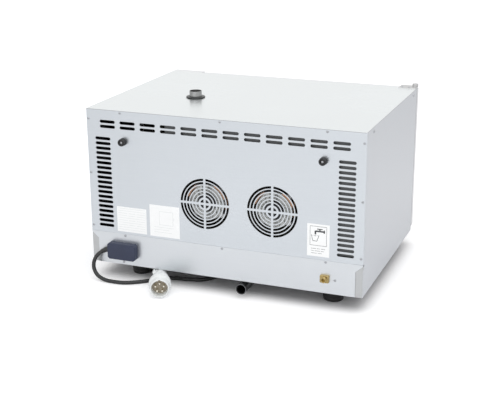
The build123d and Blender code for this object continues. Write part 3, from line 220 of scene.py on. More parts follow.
def carved(shape, cutter):
    """Shape less a cutter, both as bmesh."""
    parts = []
    for source in (shape, cutter):
        mesh = bpy.data.meshes.new("blank")
        source.to_mesh(mesh)
        source.free()
        parts.append(new_object("blank", mesh))
    cut = parts[0].modifiers.new("cut", "BOOLEAN")
    cut.operation = "DIFFERENCE"
    cut.object = parts[1]
    result = bmesh.new()
    result.from_mesh(evaluated(parts[0]).data)
    for part in parts:
        bpy.data.objects.remove(part)
    return result


# ---------------------------------------- node trees

def new_group(name, inputs, outputs, kind="ShaderNodeTree"):
    """Node group with named sockets: inputs as (name, kind, value), outputs as (name, kind)."""
    group = bpy.data.node_groups.new(name, kind)
    for label, socket_kind, value in inputs:
        socket = group.interface.new_socket(label, in_out="INPUT", socket_type=socket_kind)
        if value is not None:
            socket.default_value = value
    for label, socket_kind in outputs:
        group.interface.new_socket(label, in_out="OUTPUT", socket_type=socket_kind)
    return group, group.nodes.new("NodeGroupInput"), group.nodes.new("NodeGroupOutput")


def add(tree, kind, sockets=(), **settings):
    """Node with its settings, and its sockets given a value or a link."""
    node = tree.nodes.new(kind)
    for key, value in settings.items():
        setattr(node, key, value)
    for key, value in dict(sockets).items():
        if isinstance(value, bpy.types.NodeSocket):
            tree.links.new(value, node.inputs[key])
        else:
            node.inputs[key].default_value = value
    return node


def math_node(tree, operation, *values):
    """Math node on two or three values or sockets."""
    return add(tree, "ShaderNodeMath", dict(enumerate(values)), operation=operation).outputs[0]


def vector_node(tree, operation, *values):
    """Vector math node on one or two vectors or sockets."""
    return add(tree, "ShaderNodeVectorMath", dict(enumerate(values)), operation=operation)


def noise(tree, vector, scale, detail, **more):
    """Noise between 0 and 1."""
    sockets = {"Vector": vector, "Scale": scale, "Detail": detail, **more}
    return add(tree, "ShaderNodeTexNoise", sockets).outputs["Fac"]


def mixed(tree, factor, low, high, **settings):
    """Mix of two colours, each a value or a socket."""
    sockets = {"Factor": factor, 6: low, 7: high}
    return add(tree, "ShaderNodeMix", sockets, data_type="RGBA", **settings).outputs[2]


def ramp(tree, value, low, high):
    """Value from 0 to 1 turned into one between two numbers or colours."""
    if isinstance(low, tuple):
        return mixed(tree, value, (*low, 1), (*high, 1))
    sockets = {"Value": value, "To Min": low, "To Max": high}
    return add(tree, "ShaderNodeMapRange", sockets).outputs[0]


def object_coordinates(tree):
    return add(tree, "ShaderNodeTexCoord").outputs["Object"]


# ---------------------------------------- copies of a pattern

def copies_tree():
    """Node tree that sets a copy of a pattern on each point, its Z along the point's out."""
    tree, given, result = new_group(
        "set copies",
        [("Places", "NodeSocketGeometry", None), ("Pattern", "NodeSocketObject", None),
         ("Finish", "NodeSocketMaterial", None)],
        [("Result", "NodeSocketGeometry")], "GeometryNodeTree")
    out, turn, size = (
        add(tree, "GeometryNodeInputNamedAttribute", {"Name": label}, data_type=kind).outputs[0]
        for label, kind in (("out", "FLOAT_VECTOR"), ("turn", "FLOAT"), ("size", "FLOAT")))
    pattern = add(tree, "GeometryNodeObjectInfo", {"Object": given.outputs["Pattern"]})
    about = add(tree, "FunctionNodeAxisAngleToRotation", {"Axis": (0, 0, 1), "Angle": turn})
    facing = add(tree, "FunctionNodeAlignRotationToVector",
                 {"Rotation": about.outputs[0], "Vector": out}, axis="Z")
    spread = add(tree, "GeometryNodeInstanceOnPoints",
                 {"Points": given.outputs["Places"], "Instance": pattern.outputs["Geometry"],
                  "Rotation": facing.outputs[0], "Scale": size})
    solid = add(tree, "GeometryNodeRealizeInstances", {"Geometry": spread.outputs[0]})
    painted = add(tree, "GeometryNodeSetMaterial",
                  {"Geometry": solid.outputs[0], "Material": given.outputs["Finish"]})
    tree.links.new(painted.outputs[0], result.inputs["Result"])
    return tree


def set_copies(name, pattern, places, material, stands_for):
    """Copies of a bmesh pattern at places given as (point, out, turn, size)."""
    template_mesh = bpy.data.meshes.new("pattern")
    pattern.to_mesh(template_mesh)
    pattern.free()
    template = new_object("pattern", template_mesh)
    points = bpy.data.meshes.new("places")
    points.from_pydata([tuple(place[0]) for place in places], [], [])
    points.attributes.new("out", "FLOAT_VECTOR", "POINT").data.foreach_set(
        "vector", [c for place in places for c in place[1]])
    for label, column in (("turn", 2), ("size", 3)):
        points.attributes.new(label, "FLOAT", "POINT").data.foreach_set(
            "value", [place[column] for place in places])
    carrier = new_object("carrier", points)
    modifier = carrier.modifiers.new("copies", "NODES")
    modifier.node_group = copies_tree()
    chosen = {"Pattern": template, "Finish": material}
    for item in modifier.node_group.interface.items_tree:
        if item.name in chosen:
            modifier[item.identifier] = chosen[item.name]
    mesh = bpy.data.meshes.new_from_object(evaluated(carrier))
    mesh.name = name
    for part in (carrier, template):
        bpy.data.objects.remove(part)
    placed(name, mesh, 35, "cabinet", stands_for)


# ---------------------------------------- shader groups

def grain_group():
    """Brushed grain: fine lines along one axis, with a slow drift of tone across the sheet."""
    group, given, result = new_group(
        "brushed grain",
        [("Vector", "NodeSocketVector", None), ("Stretch", "NodeSocketVector", (1, 1, 1))],
        [("Lines", "NodeSocketFloat"), ("Drift", "NodeSocketFloat")])
    place = given.outputs["Vector"]
    stretched = vector_node(group, "MULTIPLY", place, given.outputs["Stretch"]).outputs[0]
    lines = noise(group, stretched, 1.0, 4.0, Roughness=0.65)
    group.links.new(lines, result.inputs["Lines"])
    group.links.new(noise(group, place, 2.5, 3.0), result.inputs["Drift"])
    return group


def speckle_group():
    """Fine speckle of moulded or cast surfaces, and a slow patchiness."""
    group, given, result = new_group(
        "speckle",
        [("Vector", "NodeSocketVector", None), ("Scale", "NodeSocketFloat", 900.0)],
        [("Speckle", "NodeSocketFloat"), ("Patches", "NodeSocketFloat")])
    place = given.outputs["Vector"]
    fine = noise(group, place, given.outputs["Scale"], 3.0)
    group.links.new(fine, result.inputs["Speckle"])
    group.links.new(noise(group, place, 18.0, 2.0), result.inputs["Patches"])
    return group


def dust_group():
    """Settled dust: a mask that grows on faces turned upwards, broken up by noise."""
    group, given, result = new_group(
        "settled dust",
        [("Vector", "NodeSocketVector", None), ("Amount", "NodeSocketFloat", 0.3)],
        [("Mask", "NodeSocketFloat")])
    normal = add(group, "ShaderNodeNewGeometry").outputs["Normal"]
    up = add(group, "ShaderNodeSeparateXYZ", {0: normal}).outputs["Z"]
    raised = math_node(group, "MULTIPLY_ADD", up, 0.6, 0.4)
    broken = math_node(group, "MULTIPLY", raised, noise(group, given.outputs["Vector"], 60.0, 4.0))
    scaled = math_node(group, "MULTIPLY", broken, given.outputs["Amount"])
    group.links.new(math_node(group, "MAXIMUM", scaled, 0.0), result.inputs["Mask"])
    return group


grain, speckle, dust = grain_group(), speckle_group(), dust_group()
dust_colour = (0.42, 0.41, 0.39, 1)


# ---------------------------------------- materials

def finish(name, **plain):
    """Material with a Principled shader; plain values go on its own sockets."""
    material = bpy.data.materials.new(name)
    material.use_nodes = True
    shader = material.node_tree.nodes["Principled BSDF"]
    for label, value in plain.items():
        shader.inputs[label.replace("_", " ")].default_value = value
    return material, material.node_tree, shader


def bump(tree, shader, height, distance, strength=1.0):
    sockets = {"Height": height, "Distance": distance, "Strength": strength}
    tree.links.new(add(tree, "ShaderNodeBump", sockets).outputs[0], shader.inputs["Normal"])


def sheet_steel(name, tone, along, roughness):
    """Brushed stainless sheet; along is the axis of the grain, 0 for X, 1 for Y, 2 for Z."""
    material, tree, shader = finish(name, Metallic=1.0)
    across_grain, along_grain = 1400.0, 9.0
    stretch = [across_grain] * 3
    stretch[along] = along_grain
    lines = add(tree, "ShaderNodeGroup", {"Vector": object_coordinates(tree), "Stretch": stretch},
                node_tree=grain)
    darker = tuple(c * 0.955 for c in tone)
    lighter = tuple(min(1.0, c * 1.03) for c in tone)
    drifted = ramp(tree, lines.outputs["Drift"], darker, lighter)
    lined = mixed(tree, 0.10, drifted, lines.outputs["Lines"], blend_type="OVERLAY")
    tree.links.new(lined, shader.inputs["Base Color"])
    blend = math_node(tree, "MULTIPLY_ADD", lines.outputs["Lines"], 0.5, lines.outputs["Drift"])
    varied = ramp(tree, blend, roughness - 0.06, roughness + 0.06)
    tree.links.new(varied, shader.inputs["Roughness"])
    bump(tree, shader, lines.outputs["Lines"], 0.00001, 0.35)
    return material


def moulded(name, colour, roughness, metallic=0.0, scale=900.0, depth=0.00004, dusty=0.0,
            spread=0.12, **plain):
    """Moulded, cast or painted surface: fine speckle, patchy gloss and a little dust."""
    material, tree, shader = finish(name, Metallic=metallic, **plain)
    place = object_coordinates(tree)
    fine = add(tree, "ShaderNodeGroup", {"Vector": place, "Scale": scale}, node_tree=speckle)
    base = ramp(tree, fine.outputs["Patches"], tuple(c * (1 - spread) for c in colour),
                tuple(min(1.0, c * (1 + spread)) for c in colour))
    if dusty:
        settled = add(tree, "ShaderNodeGroup", {"Vector": place, "Amount": dusty}, node_tree=dust)
        base = mixed(tree, settled.outputs["Mask"], base, dust_colour)
    tree.links.new(base, shader.inputs["Base Color"])
    varied = ramp(tree, fine.outputs["Patches"], roughness - 0.07, roughness + 0.07)
    tree.links.new(varied, shader.inputs["Roughness"])
    bump(tree, shader, fine.outputs["Speckle"], depth, 0.6)
    return material


def glass_finish(name, tint, roughness):
    """Clear glass with a faint smear."""
    material, tree, shader = finish(name, IOR=1.5, Transmission_Weight=1.0)
    smear = noise(tree, object_coordinates(tree), 7.0, 3.0)
    tree.links.new(ramp(tree, smear, roughness, roughness + 0.05), shader.inputs["Roughness"])
    shader.inputs["Base Color"].default_value = (*tint, 1)
    return material


def wound_copper():
    """Enamelled copper wire laid in turns."""
    material, tree, shader = finish("enamelled copper", Metallic=1.0, Coat_Weight=0.4,
                                    Coat_Roughness=0.2)
    turns = add(tree, "ShaderNodeTexWave",
                {"Vector": object_coordinates(tree), "Scale": 160.0, "Distortion": 1.5,
                 "Detail": 2.0}, bands_direction="DIAGONAL").outputs["Fac"]
    tree.links.new(ramp(tree, turns, (0.30, 0.14, 0.07), (0.66, 0.42, 0.29)),
                   shader.inputs["Base Color"])
    tree.links.new(ramp(tree, turns, 0.42, 0.28), shader.inputs["Roughness"])
    bump(tree, shader, turns, 0.0003)
    return material


rear_steel = sheet_steel("rear sheet steel", (0.636, 0.670, 0.703), 0, 0.30)
apron_steel = sheet_steel("apron sheet steel", (0.68, 0.705, 0.73), 0, 0.30)
# Painted light: the top cover's stainless is set lighter than the rear and side sheets of the same
# stainless, for the light falling on it from above.
top_steel_painted_light = sheet_steel("top sheet steel, painted light", (0.80, 0.83, 0.835), 0, 0.24)
side_steel = sheet_steel("side sheet steel", (0.62, 0.64, 0.67), 1, 0.30)
door_steel = sheet_steel("door sheet steel", (0.80, 0.81, 0.82), 0, 0.30)
inner_steel = sheet_steel("chamber steel", (0.62, 0.63, 0.63), 0, 0.30)
# Painted shade: the drain pipe's steel is set near black for the dark underside it reflects.
pipe_steel_painted_shade = sheet_steel("drawn pipe steel, painted shade", (0.17, 0.175, 0.18), 1, 0.32)
flue_steel = sheet_steel("flue pipe steel", (0.33, 0.33, 0.33), 2, 0.30)
# Painted shade: the corner strips' steel is darker than the apron's, for the shade at the apron's
# notched ends.
strip_steel_painted_shade = sheet_steel("corner strip steel, painted shade", (0.52, 0.53, 0.535), 2, 0.34)
plate_steel = moulded("zinc plated steel", (0.38, 0.38, 0.39), 0.42, 1.0, 300.0)
# Painted shade: the base pan is set darker than the other zinc plated parts, for the shade under
# the oven.
base_steel_painted_shade = moulded("zinc plated base, painted shade", (0.24, 0.24, 0.25), 0.45, 1.0, 300.0)
bracket_steel = moulded("hinge steel", (0.58, 0.58, 0.58), 0.34, 1.0, 300.0)
wire_chrome = moulded("polished chrome wire", (0.80, 0.81, 0.82), 0.12, 1.0, 200.0, 0.00001)
screw_steel = moulded("screw steel", (0.46, 0.47, 0.49), 0.34, 1.0, 400.0, 0.00001)
core_steel = moulded("laminated core", (0.13, 0.13, 0.135), 0.42, 1.0, 500.0)
copper = wound_copper()
cast_aluminium = moulded("cast aluminium", (0.62, 0.63, 0.64), 0.42, 1.0, 350.0, 0.0001)
impeller_metal = moulded("impeller aluminium", (0.54, 0.55, 0.54), 0.38, 1.0, 350.0)
element_sheath = moulded("heater sheath", (0.16, 0.15, 0.14), 0.45, 0.8, 600.0)
brass = moulded("turned brass", (0.42, 0.32, 0.14), 0.27, 1.0, 260.0, 0.00003, spread=0.08)
contact_metal = moulded("contact plating", (0.80, 0.76, 0.66), 0.25, 1.0, 300.0, 0.00001)
# Painted shade: a dark matte sheet for the shade behind the rear slots.
slot_shade_dark = moulded("slot shade sheet", (0.12, 0.125, 0.13), 0.5, 0.0, 300.0, 0.00001)
black_rubber = moulded("black rubber", (0.009, 0.009, 0.010), 0.52, dusty=0.03)
collar_rubber = moulded("collar rubber", (0.013, 0.015, 0.015), 0.34, 0.0, 600.0, 0.00001,
                        dusty=0.02)
cable_rubber = moulded("cable rubber", (0.016, 0.017, 0.018), 0.44, 0.0, 1400.0, dusty=0.06)
seal_rubber = moulded("door seal rubber", (0.045, 0.045, 0.047), 0.6)
# Painted shade: grey for the shade in the seam round the top cover.
seam_shade_grey = moulded("painted seam shade", (0.22, 0.225, 0.23), 0.6, 0.0, 300.0, 0.00001)
window_glass = glass_finish("window glass", (0.72, 0.77, 0.76), 0.01)
lamp_glass = glass_finish("lamp glass", (0.95, 0.95, 0.93), 0.15)
enamel_black = moulded("window border enamel", (0.012, 0.012, 0.013), 0.18, 0.0, 200.0, 0.000005)
wool_felt = moulded("mineral wool", (0.075, 0.068, 0.055), 0.95, 0.0, 240.0, 0.002, spread=0.25)
white_ceramic = moulded("lamp ceramic", (0.80, 0.78, 0.72), 0.25, 0.0, 200.0, 0.00002)
valve_plastic = moulded("valve plastic", (0.70, 0.70, 0.67), 0.45)
hose_silicone = moulded("silicone hose", (0.66, 0.67, 0.64), 0.4)
box_plastic = moulded("terminal box plastic", (0.022, 0.030, 0.066), 0.50, 0.0, 700.0, dusty=0.03)
plug_plastic = moulded("plug plastic", (0.80, 0.82, 0.82), 0.32, 0.0, 500.0, 0.00002, spread=0.02)
insert_plastic = moulded("contact insert", (0.40, 0.35, 0.27), 0.5)
black_plastic = moulded("black moulding", (0.022, 0.022, 0.024), 0.34, 0.0, 700.0)
# Black of the door magnets; the same black makes the hub discs of the cooling fans, which are
# painted shade.
magnet_and_hub_shade_black = moulded("magnet", (0.03, 0.03, 0.033), 0.5)
green_plastic = moulded("button cap", (0.03, 0.25, 0.20), 0.25, 0.0, 400.0, 0.00001)
amber_lens = moulded("indicator lens", (0.80, 0.28, 0.03), 0.15, 0.0, 200.0, 0.00001,
                     Coat_Weight=0.6)
label_film = moulded("label film", (0.96, 0.97, 0.97), 0.35, 0.0, 300.0, 0.00001, spread=0.01)
label_ink = moulded("label ink", (0.06, 0.065, 0.07), 0.5, 0.0, 300.0, 0.00001)
faint_ink = moulded("faint ink", (0.72, 0.755, 0.75), 0.5, 0.0, 300.0, 0.00001, spread=0.05)
pointer_white = moulded("pointer inlay", (0.85, 0.85, 0.83), 0.4, 0.0, 300.0, 0.00001, spread=0.02)

dressed = {
    rear_steel: "rear_panel",
    apron_steel: "rear_apron",
    top_steel_painted_light: "top_cover",
    side_steel: "side_panel_left side_panel_right",
    door_steel: "door_shell control_panel front_frame",
    inner_steel: "cavity_liner cavity_back air_baffle door_inner_panel fan_wheel_left "
                 "fan_wheel_right",
    base_steel_painted_shade: "base_pan",
    plate_steel: "compartment_wall drain_clip door_hinge_blocks",
    bracket_steel: "hinge_brackets",
    pipe_steel_painted_shade: "drain_pipe",
    flue_steel: "chimney_pipe",
    wire_chrome: "shelf_racks wire_shelves door_handle",
    screw_steel: "panel_screws",
    black_rubber: "rubber_feet wall_bumpers chimney_collar cable_gland",
    cable_rubber: "mains_cable",
    seal_rubber: "door_gasket",
    window_glass: "door_glass",
    lamp_glass: "lamp_lens",
    wool_felt: "insulation",
    white_ceramic: "lamp_holder",
    core_steel: "motor_cores fan_shaft_left fan_shaft_right",
    copper: "motor_windings",
    cast_aluminium: "motor_shields",
    element_sheath: "heating_elements",
    impeller_metal: "cooling_impeller_left cooling_impeller_right",
    brass: "water_inlet",
    valve_plastic: "water_valve",
    hose_silicone: "water_tube",
    label_film: "rear_labels",
    box_plastic: "terminal_box_base terminal_box_cover",
    plug_plastic: "plug_shell plug_clamp",
    insert_plastic: "plug_insert",
    contact_metal: "plug_contacts",
    magnet_and_hub_shade_black: "door_magnets",
    black_plastic: "control_bodies contactor timer_knob thermostat_knob",
    green_plastic: "humidity_button",
    amber_lens: "indicator_lamps",
}
for material, names in dressed.items():
    for name in names.split():
        nodes[name].data.materials.clear()
        nodes[name].data.materials.append(material)


# ---------------------------------------- mains cable

cable_radius = 5.6 * mm
cable_rest = 0.2 * mm
floor_z = cable_radius + cable_rest
gland_place = Vector((0.3438, rear_y + 10.5 * mm, 0.096))
gland_heading = Vector((math.cos(math.radians(25)), 0, -math.sin(math.radians(25))))
gland_exit = gland_place + gland_heading * 10 * mm
boot_end = gland_exit + gland_heading * 21 * mm
plug_tail = Vector((0.204, 0.2745, 0.0318))
plug_heading = Vector((-0.401, 0.916, 0)).normalized()
run_on_floor = (
    (0.352, 0.3430), (0.320, 0.3455), (0.288, 0.3425), (0.256, 0.3245), (0.228, 0.3015),
    (0.198, 0.2735), (0.168, 0.2575), (0.132, 0.2555), (0.096, 0.2475), (0.068, 0.2235),
    (0.052, 0.1835), (0.040, 0.1275), (0.026, 0.0695), (0.036, 0.0075), (0.084, -0.0345),
    (0.146, -0.0325), (0.190, 0.0115), (0.208, 0.0695), (0.234, 0.1235))
cable_points = [
    tuple(gland_exit), tuple(boot_end), (0.387, 0.3315, 0.064), (0.391, 0.3355, 0.038),
    (0.378, 0.3395, 0.016), *((x, y, floor_z) for x, y in run_on_floor), (0.244, 0.1755, 0.016),
    tuple(plug_tail - plug_heading * 48 * mm), tuple(plug_tail)]


def make_cable():
    """Supply cable from the gland to the plug's tail."""
    curve = bpy.data.curves.new("supply cable", "CURVE")
    curve.dimensions = "3D"
    spline = curve.splines.new("NURBS")
    spline.points.add(len(cable_points) - 1)
    for point, place in zip(spline.points, cable_points):
        point.co = (*place, 1)
    spline.order_u = 3
    spline.use_endpoint_u = True
    spline.resolution_u = 8
    curve.bevel_depth = cable_radius
    curve.bevel_resolution = 5
    curve.use_fill_caps = True
    curve.materials.append(cable_rubber)
    cable = new_object("supply_cable", curve)
    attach(cable, "cabinet")
    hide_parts("mains_cable")
    return cable


cable = make_cable()


# ---------------------------------------- rubber pieces

def middles(node):
    """Middle of each loose part of a CAD node."""
    return [(low + high) / 2 for low, high in islands(node)]


def make_feet():
    shape = bmesh.new()
    profile = softened([(0, 5), (8.5, 5), (9.5, 0.5), (12, 0), (25.5, 0), (27.8, 2.4), (28.2, 9),
                        (27.4, 10), (27.4, 11.4), (28.5, 12.4), (30.3, 46), (30.5, 50), (5, 50),
                        (5, 55.6), (0, 55.6)], 0.9, closed=False)
    for place in middles("rubber_feet"):
        lathe(shape, profile, (place.x, place.y, 0), (0, 0, 1), 64)
    mesh_piece("moulded_feet", shape, black_rubber, stands_for=("rubber_feet",))


def make_bumpers():
    shape = bmesh.new()
    profile = softened([(2.6, 0), (10.3, 0), (10.8, 1.2), (10.2, 12.6), (9.2, 15), (6.2, 15),
                        (5.2, 14), (5.2, 11), (2.6, 11)], 0.7)
    for place in middles("wall_bumpers"):
        lathe(shape, profile, (place.x, rear_y, place.z), (0, 1, 0), 40, ring=True)
    mesh_piece("moulded_bumpers", shape, black_rubber, stands_for=("wall_bumpers",))


def make_collar():
    low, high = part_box("chimney_collar")
    centre = ((low.x + high.x) / 2, (low.y + high.y) / 2, top_z)
    tall = (high.z - top_z) / mm
    profile = softened([(17.9, 0), (26.4, 0), (27.5, 1.1), (27.4, 2.4), (26.0, 3.4),
                        (20.4, tall - 0.4), (19.6, tall), (17.9, tall)], 0.7)
    shape = lathe(bmesh.new(), profile, centre, (0, 0, 1), 72, ring=True)
    mesh_piece("moulded_collar", shape, collar_rubber, stands_for=("chimney_collar",))


def make_strain_relief():
    """Flange on the box and a tapered boot with ribs that droops with the cable."""
    shape = bmesh.new()
    flange = softened([(0, -4), (5.4, -4), (5.4, 0), (8.5, 0), (8.5, 2.2), (7.6, 3), (0, 3)], 0.5,
                      closed=False)
    lathe(shape, flange, gland_place, (1, 0, 0), 32)
    boot = [(0, -3), (7.0, -3), (7.3, 2)]
    for rib in range(5):
        start, radius = 4.0 + 4.2 * rib, 7.2 - 0.22 * rib
        boot += [(radius, start), (radius, start + 2.4),
                 (radius - 0.75, start + 2.9), (radius - 0.8, start + 3.8)]
    boot += [(6.0, 26.5), (5.65, 27), (0, 27)]
    lathe(shape, softened(boot, 0.35, 2, closed=False), gland_place, gland_heading, 36)
    mesh_piece("strain_relief", shape, cable_rubber, stands_for=("cable_gland",))


make_feet()
make_bumpers()
make_collar()
make_strain_relief()


# ---------------------------------------- plug

plug_side = Vector((-plug_heading.y, plug_heading.x, 0))
plug_up = Vector((0, 0, 1))
lug_turn = 135.0


def at_plug(x, y, z):
    """Place given in mm across, above and along the plug, from its cable end."""
    return plug_tail + (plug_side * x + plug_up * y + plug_heading * z) * mm


def plug_block(shape, x, y, z, turn=0.0, bevel=0.0):
    """Block between pairs of plug coordinates, turned about the plug's axis."""
    swing = Quaternion(plug_heading, math.radians(turn))
    corners = [shape.verts.new(plug_tail + swing @ (at_plug(i, j, k) - plug_tail))
               for i in x for j in y for k in z]
    new = [shape.faces.new([corners[n] for n in loop]) for loop in
           ((0, 1, 3, 2), (4, 5, 7, 6), (0, 1, 5, 4), (2, 3, 7, 6), (0, 2, 6, 4), (1, 3, 7, 5))]
    bmesh.ops.recalc_face_normals(shape, faces=new)
    if bevel:
        edges = list(dict.fromkeys(edge for face in new for edge in face.edges))
        bmesh.ops.bevel(shape, geom=edges, offset=bevel * mm, segments=2, profile=0.5,
                        affect="EDGES")
    return shape


def make_plug_body():
    """Shroud, collar, neck and locking lug; a keyway runs inside the mouth."""
    body = [(0, 28), (16.6, 28), (17.5, 29), (18, 46), (21, 56), (30.4, 95), (31.5, 101),
            (31.5, 114), (30.7, 116), (27.8, 118.5), (27.3, 121), (26.5, 139), (25.6, 140),
            (23.8, 140), (23, 139), (23, 108), (11.5, 98), (11.5, 34), (0, 34)]
    shell = lathe(bmesh.new(), softened(body, 0.6, 2, closed=False), plug_tail, plug_heading, 96)
    shell = carved(shell, plug_block(bmesh.new(), (-3, 3), (22, 25.5), (115, 141)))
    plug_block(shell, (16.8, 28), (-3.5, 3.5), (45, 67), lug_turn, 1.2)
    plug_block(shell, (14, 19.5), (-3.5, 3.5), (29, 47), lug_turn, 1.2)
    mesh_piece("plug_body", shell, plug_plastic, stands_for=("plug_shell",))


def make_clamp_nut():
    profile = softened([(0, 0), (10.8, 0), (12.2, 1.6), (14.6, 25.5), (14.6, 27), (13.6, 28),
                        (0, 28)], 0.7, closed=False)
    shape = lathe(bmesh.new(), profile, plug_tail, plug_heading, 96, ripple=(16, 1.3, 11.5))
    mesh_piece("plug_nut", shape, plug_plastic, stands_for=("plug_clamp",))


make_plug_body()
make_clamp_nut()


# ---------------------------------------- rear fittings

def make_water_inlet():
    """Cast shoulder plate with a threaded stub that takes the supply hose."""
    low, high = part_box("water_inlet")
    x, z = (low.x + high.x) / 2, (low.z + high.z) / 2
    plate = rectangle(low.x, high.x, low.z, high.z, 2.5 * mm)
    shape = prism(bmesh.new(), plate, rear_y, rear_y + 7 * mm, 1.1 * mm)
    stub = [(5, 2), (7.6, 2), (7.6, 7.6)]
    for thread in range(4):
        start = 7.9 + 1.6 * thread
        stub += [(7.5, start), (8.3, start + 0.5), (8.3, start + 0.9), (7.5, start + 1.4)]
    stub += [(7.4, 14.7), (7.1, 15), (5.6, 15), (5, 14.5)]
    lathe(shape, stub, (x, rear_y, z), (0, 1, 0), 40, ring=True)
    back = [(0, -9.9), (7.4, -9.9), (7.4, 0.2), (0, 0.2)]
    lathe(shape, back, (x, rear_y, z), (0, 1, 0), 24)
    mesh_piece("inlet_stub", shape, brass, stands_for=("water_inlet",))


def make_box_cover():
    """Moulded cover with chamfered corners, standing on the box's base over a fine joint."""
    low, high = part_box("terminal_box_cover")
    cut, joint = 5.0 * mm, 0.5 * mm
    corners = [(low.x + cut, low.z), (high.x - cut, low.z), (high.x, low.z + cut),
               (high.x, high.z - cut), (high.x - cut, high.z), (low.x + cut, high.z),
               (low.x, high.z - cut), (low.x, low.z + cut)]
    shape = prism(bmesh.new(), softened(corners, 0.8 * mm, 2), low.y + joint, high.y, 1.1 * mm)
    mesh_piece("box_cover", shape, box_plastic, stands_for=("terminal_box_cover",))


def make_corner_strips():
    """Steel strips that close the apron's two notched ends, each with a fold round the side."""
    strip = ((380.4, 50.3), (399.7, 50.3), (399.7, 137.6), (380.4, 121.2))
    fold = ((398.9, 50.3), (399.8, 50.3), (399.8, 137.9), (398.9, 137.9))
    shape = bmesh.new()
    for side in (-1, 1):
        for outline, inner, outer in ((strip, 3, 0.72), (fold, 16, 0.74)):
            outline = [(side * x * mm, z * mm) for x, z in outline]
            prism(shape, outline, rear_y - inner * mm, rear_y - outer * mm)
    # Painted shade: the strips' darker steel stands for the shade at the apron's notched ends.
    mesh_piece("corner_strips", shape, strip_steel_painted_shade)


def make_air_guides():
    """Dark sheets close behind the slots on the door hinge's side and behind the upper row."""
    # Painted shade: these sheets stand in for the shade inside the slots.
    hinge_side, upper_row = (-374, -300, 158, 440), (-374, 166, 444, 490)
    shape = bmesh.new()
    for sheet in (hinge_side, upper_row):
        outline = rectangle(*(side * mm for side in sheet))
        prism(shape, outline, rear_y - 9.6 * mm, rear_y - 9 * mm)
    mesh_piece("air_guides", shape, slot_shade_dark)


def make_hub_plates():
    """Dark plate round the hub of each cooling impeller, turning with it."""
    # Painted shade: the dark disc stands in for the shade in each impeller's eye.
    profile = softened([(10, 0), (25.5, 0), (25.5, 1.8), (10, 2.4)], 0.5)
    gap = 0.3 * mm
    for side in ("left", "right"):
        low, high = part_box("cooling_impeller_" + side)
        centre = (low + high) / 2
        shape = lathe(bmesh.new(), profile, (centre.x, high.y + gap, centre.z), (0, 1, 0), 40,
                      ring=True)
        mesh_piece("hub_plate_" + side, shape, magnet_and_hub_shade_black, "fan_" + side)


def make_top_joint():
    """Dark line along the rear and side edges of the top cover: painted shade of the seam."""
    shape = bmesh.new()
    prism(shape, rectangle(top_low.x + mm, top_high.x - mm, top_z - 1.75 * mm, top_z - 0.95 * mm),
          rear_y - 1.5 * mm, rear_y + 0.04 * mm)
    inner, outer, under, over = 398.6 * mm, 400.04 * mm, top_z - 1.65 * mm, top_z - 0.95 * mm
    for side in (-1, 1):
        edge = rectangle(side * inner, side * outer, under, over)
        prism(shape, edge, top_low.y + 2 * mm, rear_y - 2 * mm)
    mesh_piece("top_joint", shape, seam_shade_grey)


def make_coil_ends():
    """Wound coil ends that bulge past the motors' shields beside each cooling fan."""
    ring_radius, sides, steps, step_turn = 54.5 * mm, 8, 8, 6
    fat, fat_at_tips, deep = 3.6 * mm, 1.8 * mm, 1.6 * mm
    shape = bmesh.new()
    for side in ("left", "right"):
        low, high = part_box("cooling_impeller_" + side)
        centre = (low + high) / 2
        for start in (14, 116):
            rows = []
            for step in range(steps + 1):
                turn = math.radians(start + step_turn * step)
                out = Vector((math.cos(turn), 0, math.sin(turn)))
                middle = Vector((centre.x, high.y + 1.5 * mm, centre.z)) + out * ring_radius
                wide = fat_at_tips if step in (0, steps) else fat
                row = []
                for i in range(sides):
                    a = math.radians(360 / sides * i)
                    across = Vector((0, deep * math.sin(a), 0))
                    row.append(shape.verts.new(middle + out * wide * math.cos(a) + across))
                rows.append(row)
            new = [shape.faces.new(rows[0]), shape.faces.new(rows[-1])]
            for near, far in zip(rows, rows[1:]):
                new += walls(shape, near, far)
            bmesh.ops.recalc_face_normals(shape, faces=new)
    mesh_piece("coil_ends", shape, copper)


make_water_inlet()
make_box_cover()
make_corner_strips()
make_air_guides()
make_hub_plates()
make_top_joint()
make_coil_ends()


# ---------------------------------------- screws

head_radius = 3.6


def screw_pattern():
    """Pan head with a cross recess on a short shank; 1.9 mm high, its top at height 0."""
    head = [(0, -6), (1.7, -6), (1.7, -1.9), (head_radius, -1.9), (3.58, -1.2), (3.1, -0.45),
            (2.2, -0.08), (0, 0)]
    shape = lathe(bmesh.new(), head, (0, 0, 0), (0, 0, 1), 20)
    arms = []
    for angle in range(0, 360, 90):
        for reach, offset in ((0.62, -45), (2.1, -12), (2.1, 12)):
            turn = math.radians(angle) + math.radians(offset)
            arms.append((reach * math.cos(turn), reach * math.sin(turn)))
    cutter = bmesh.new()
    top = [cutter.verts.new((x * mm, y * mm, 0.5 * mm)) for x, y in arms]
    bottom = [cutter.verts.new((x * 0.5 * mm, y * 0.5 * mm, -1.5 * mm)) for x, y in arms]
    new = [cutter.faces.new(top), cutter.faces.new(bottom)] + walls(cutter, top, bottom)
    bmesh.ops.recalc_face_normals(cutter, faces=new)
    return carved(shape, cutter)


def screw_places():
    """Top of each CAD screw's head, the way it faces, a turn of its recess and its size."""
    places = []
    for number, (low, high) in enumerate(islands("panel_screws")):
        size, centre = high - low, (low + high) / 2
        axis = min(range(3), key=lambda i: abs(size[(i + 1) % 3] - size[(i + 2) % 3]))
        out = Vector((0, 0, 0))
        out[axis] = -1.0 if axis == 0 and centre.x < 0 else 1.0
        if axis == 1 and low.y > rear_y - 4 * mm:
            out.y = -1.0
        head = Vector(centre)
        head[axis] = high[axis] if out[axis] > 0 else low[axis]
        scale = 0.5 * size[(axis + 1) % 3] / (head_radius * mm)
        places.append((head, out, 0.7 * number, scale))
    return places


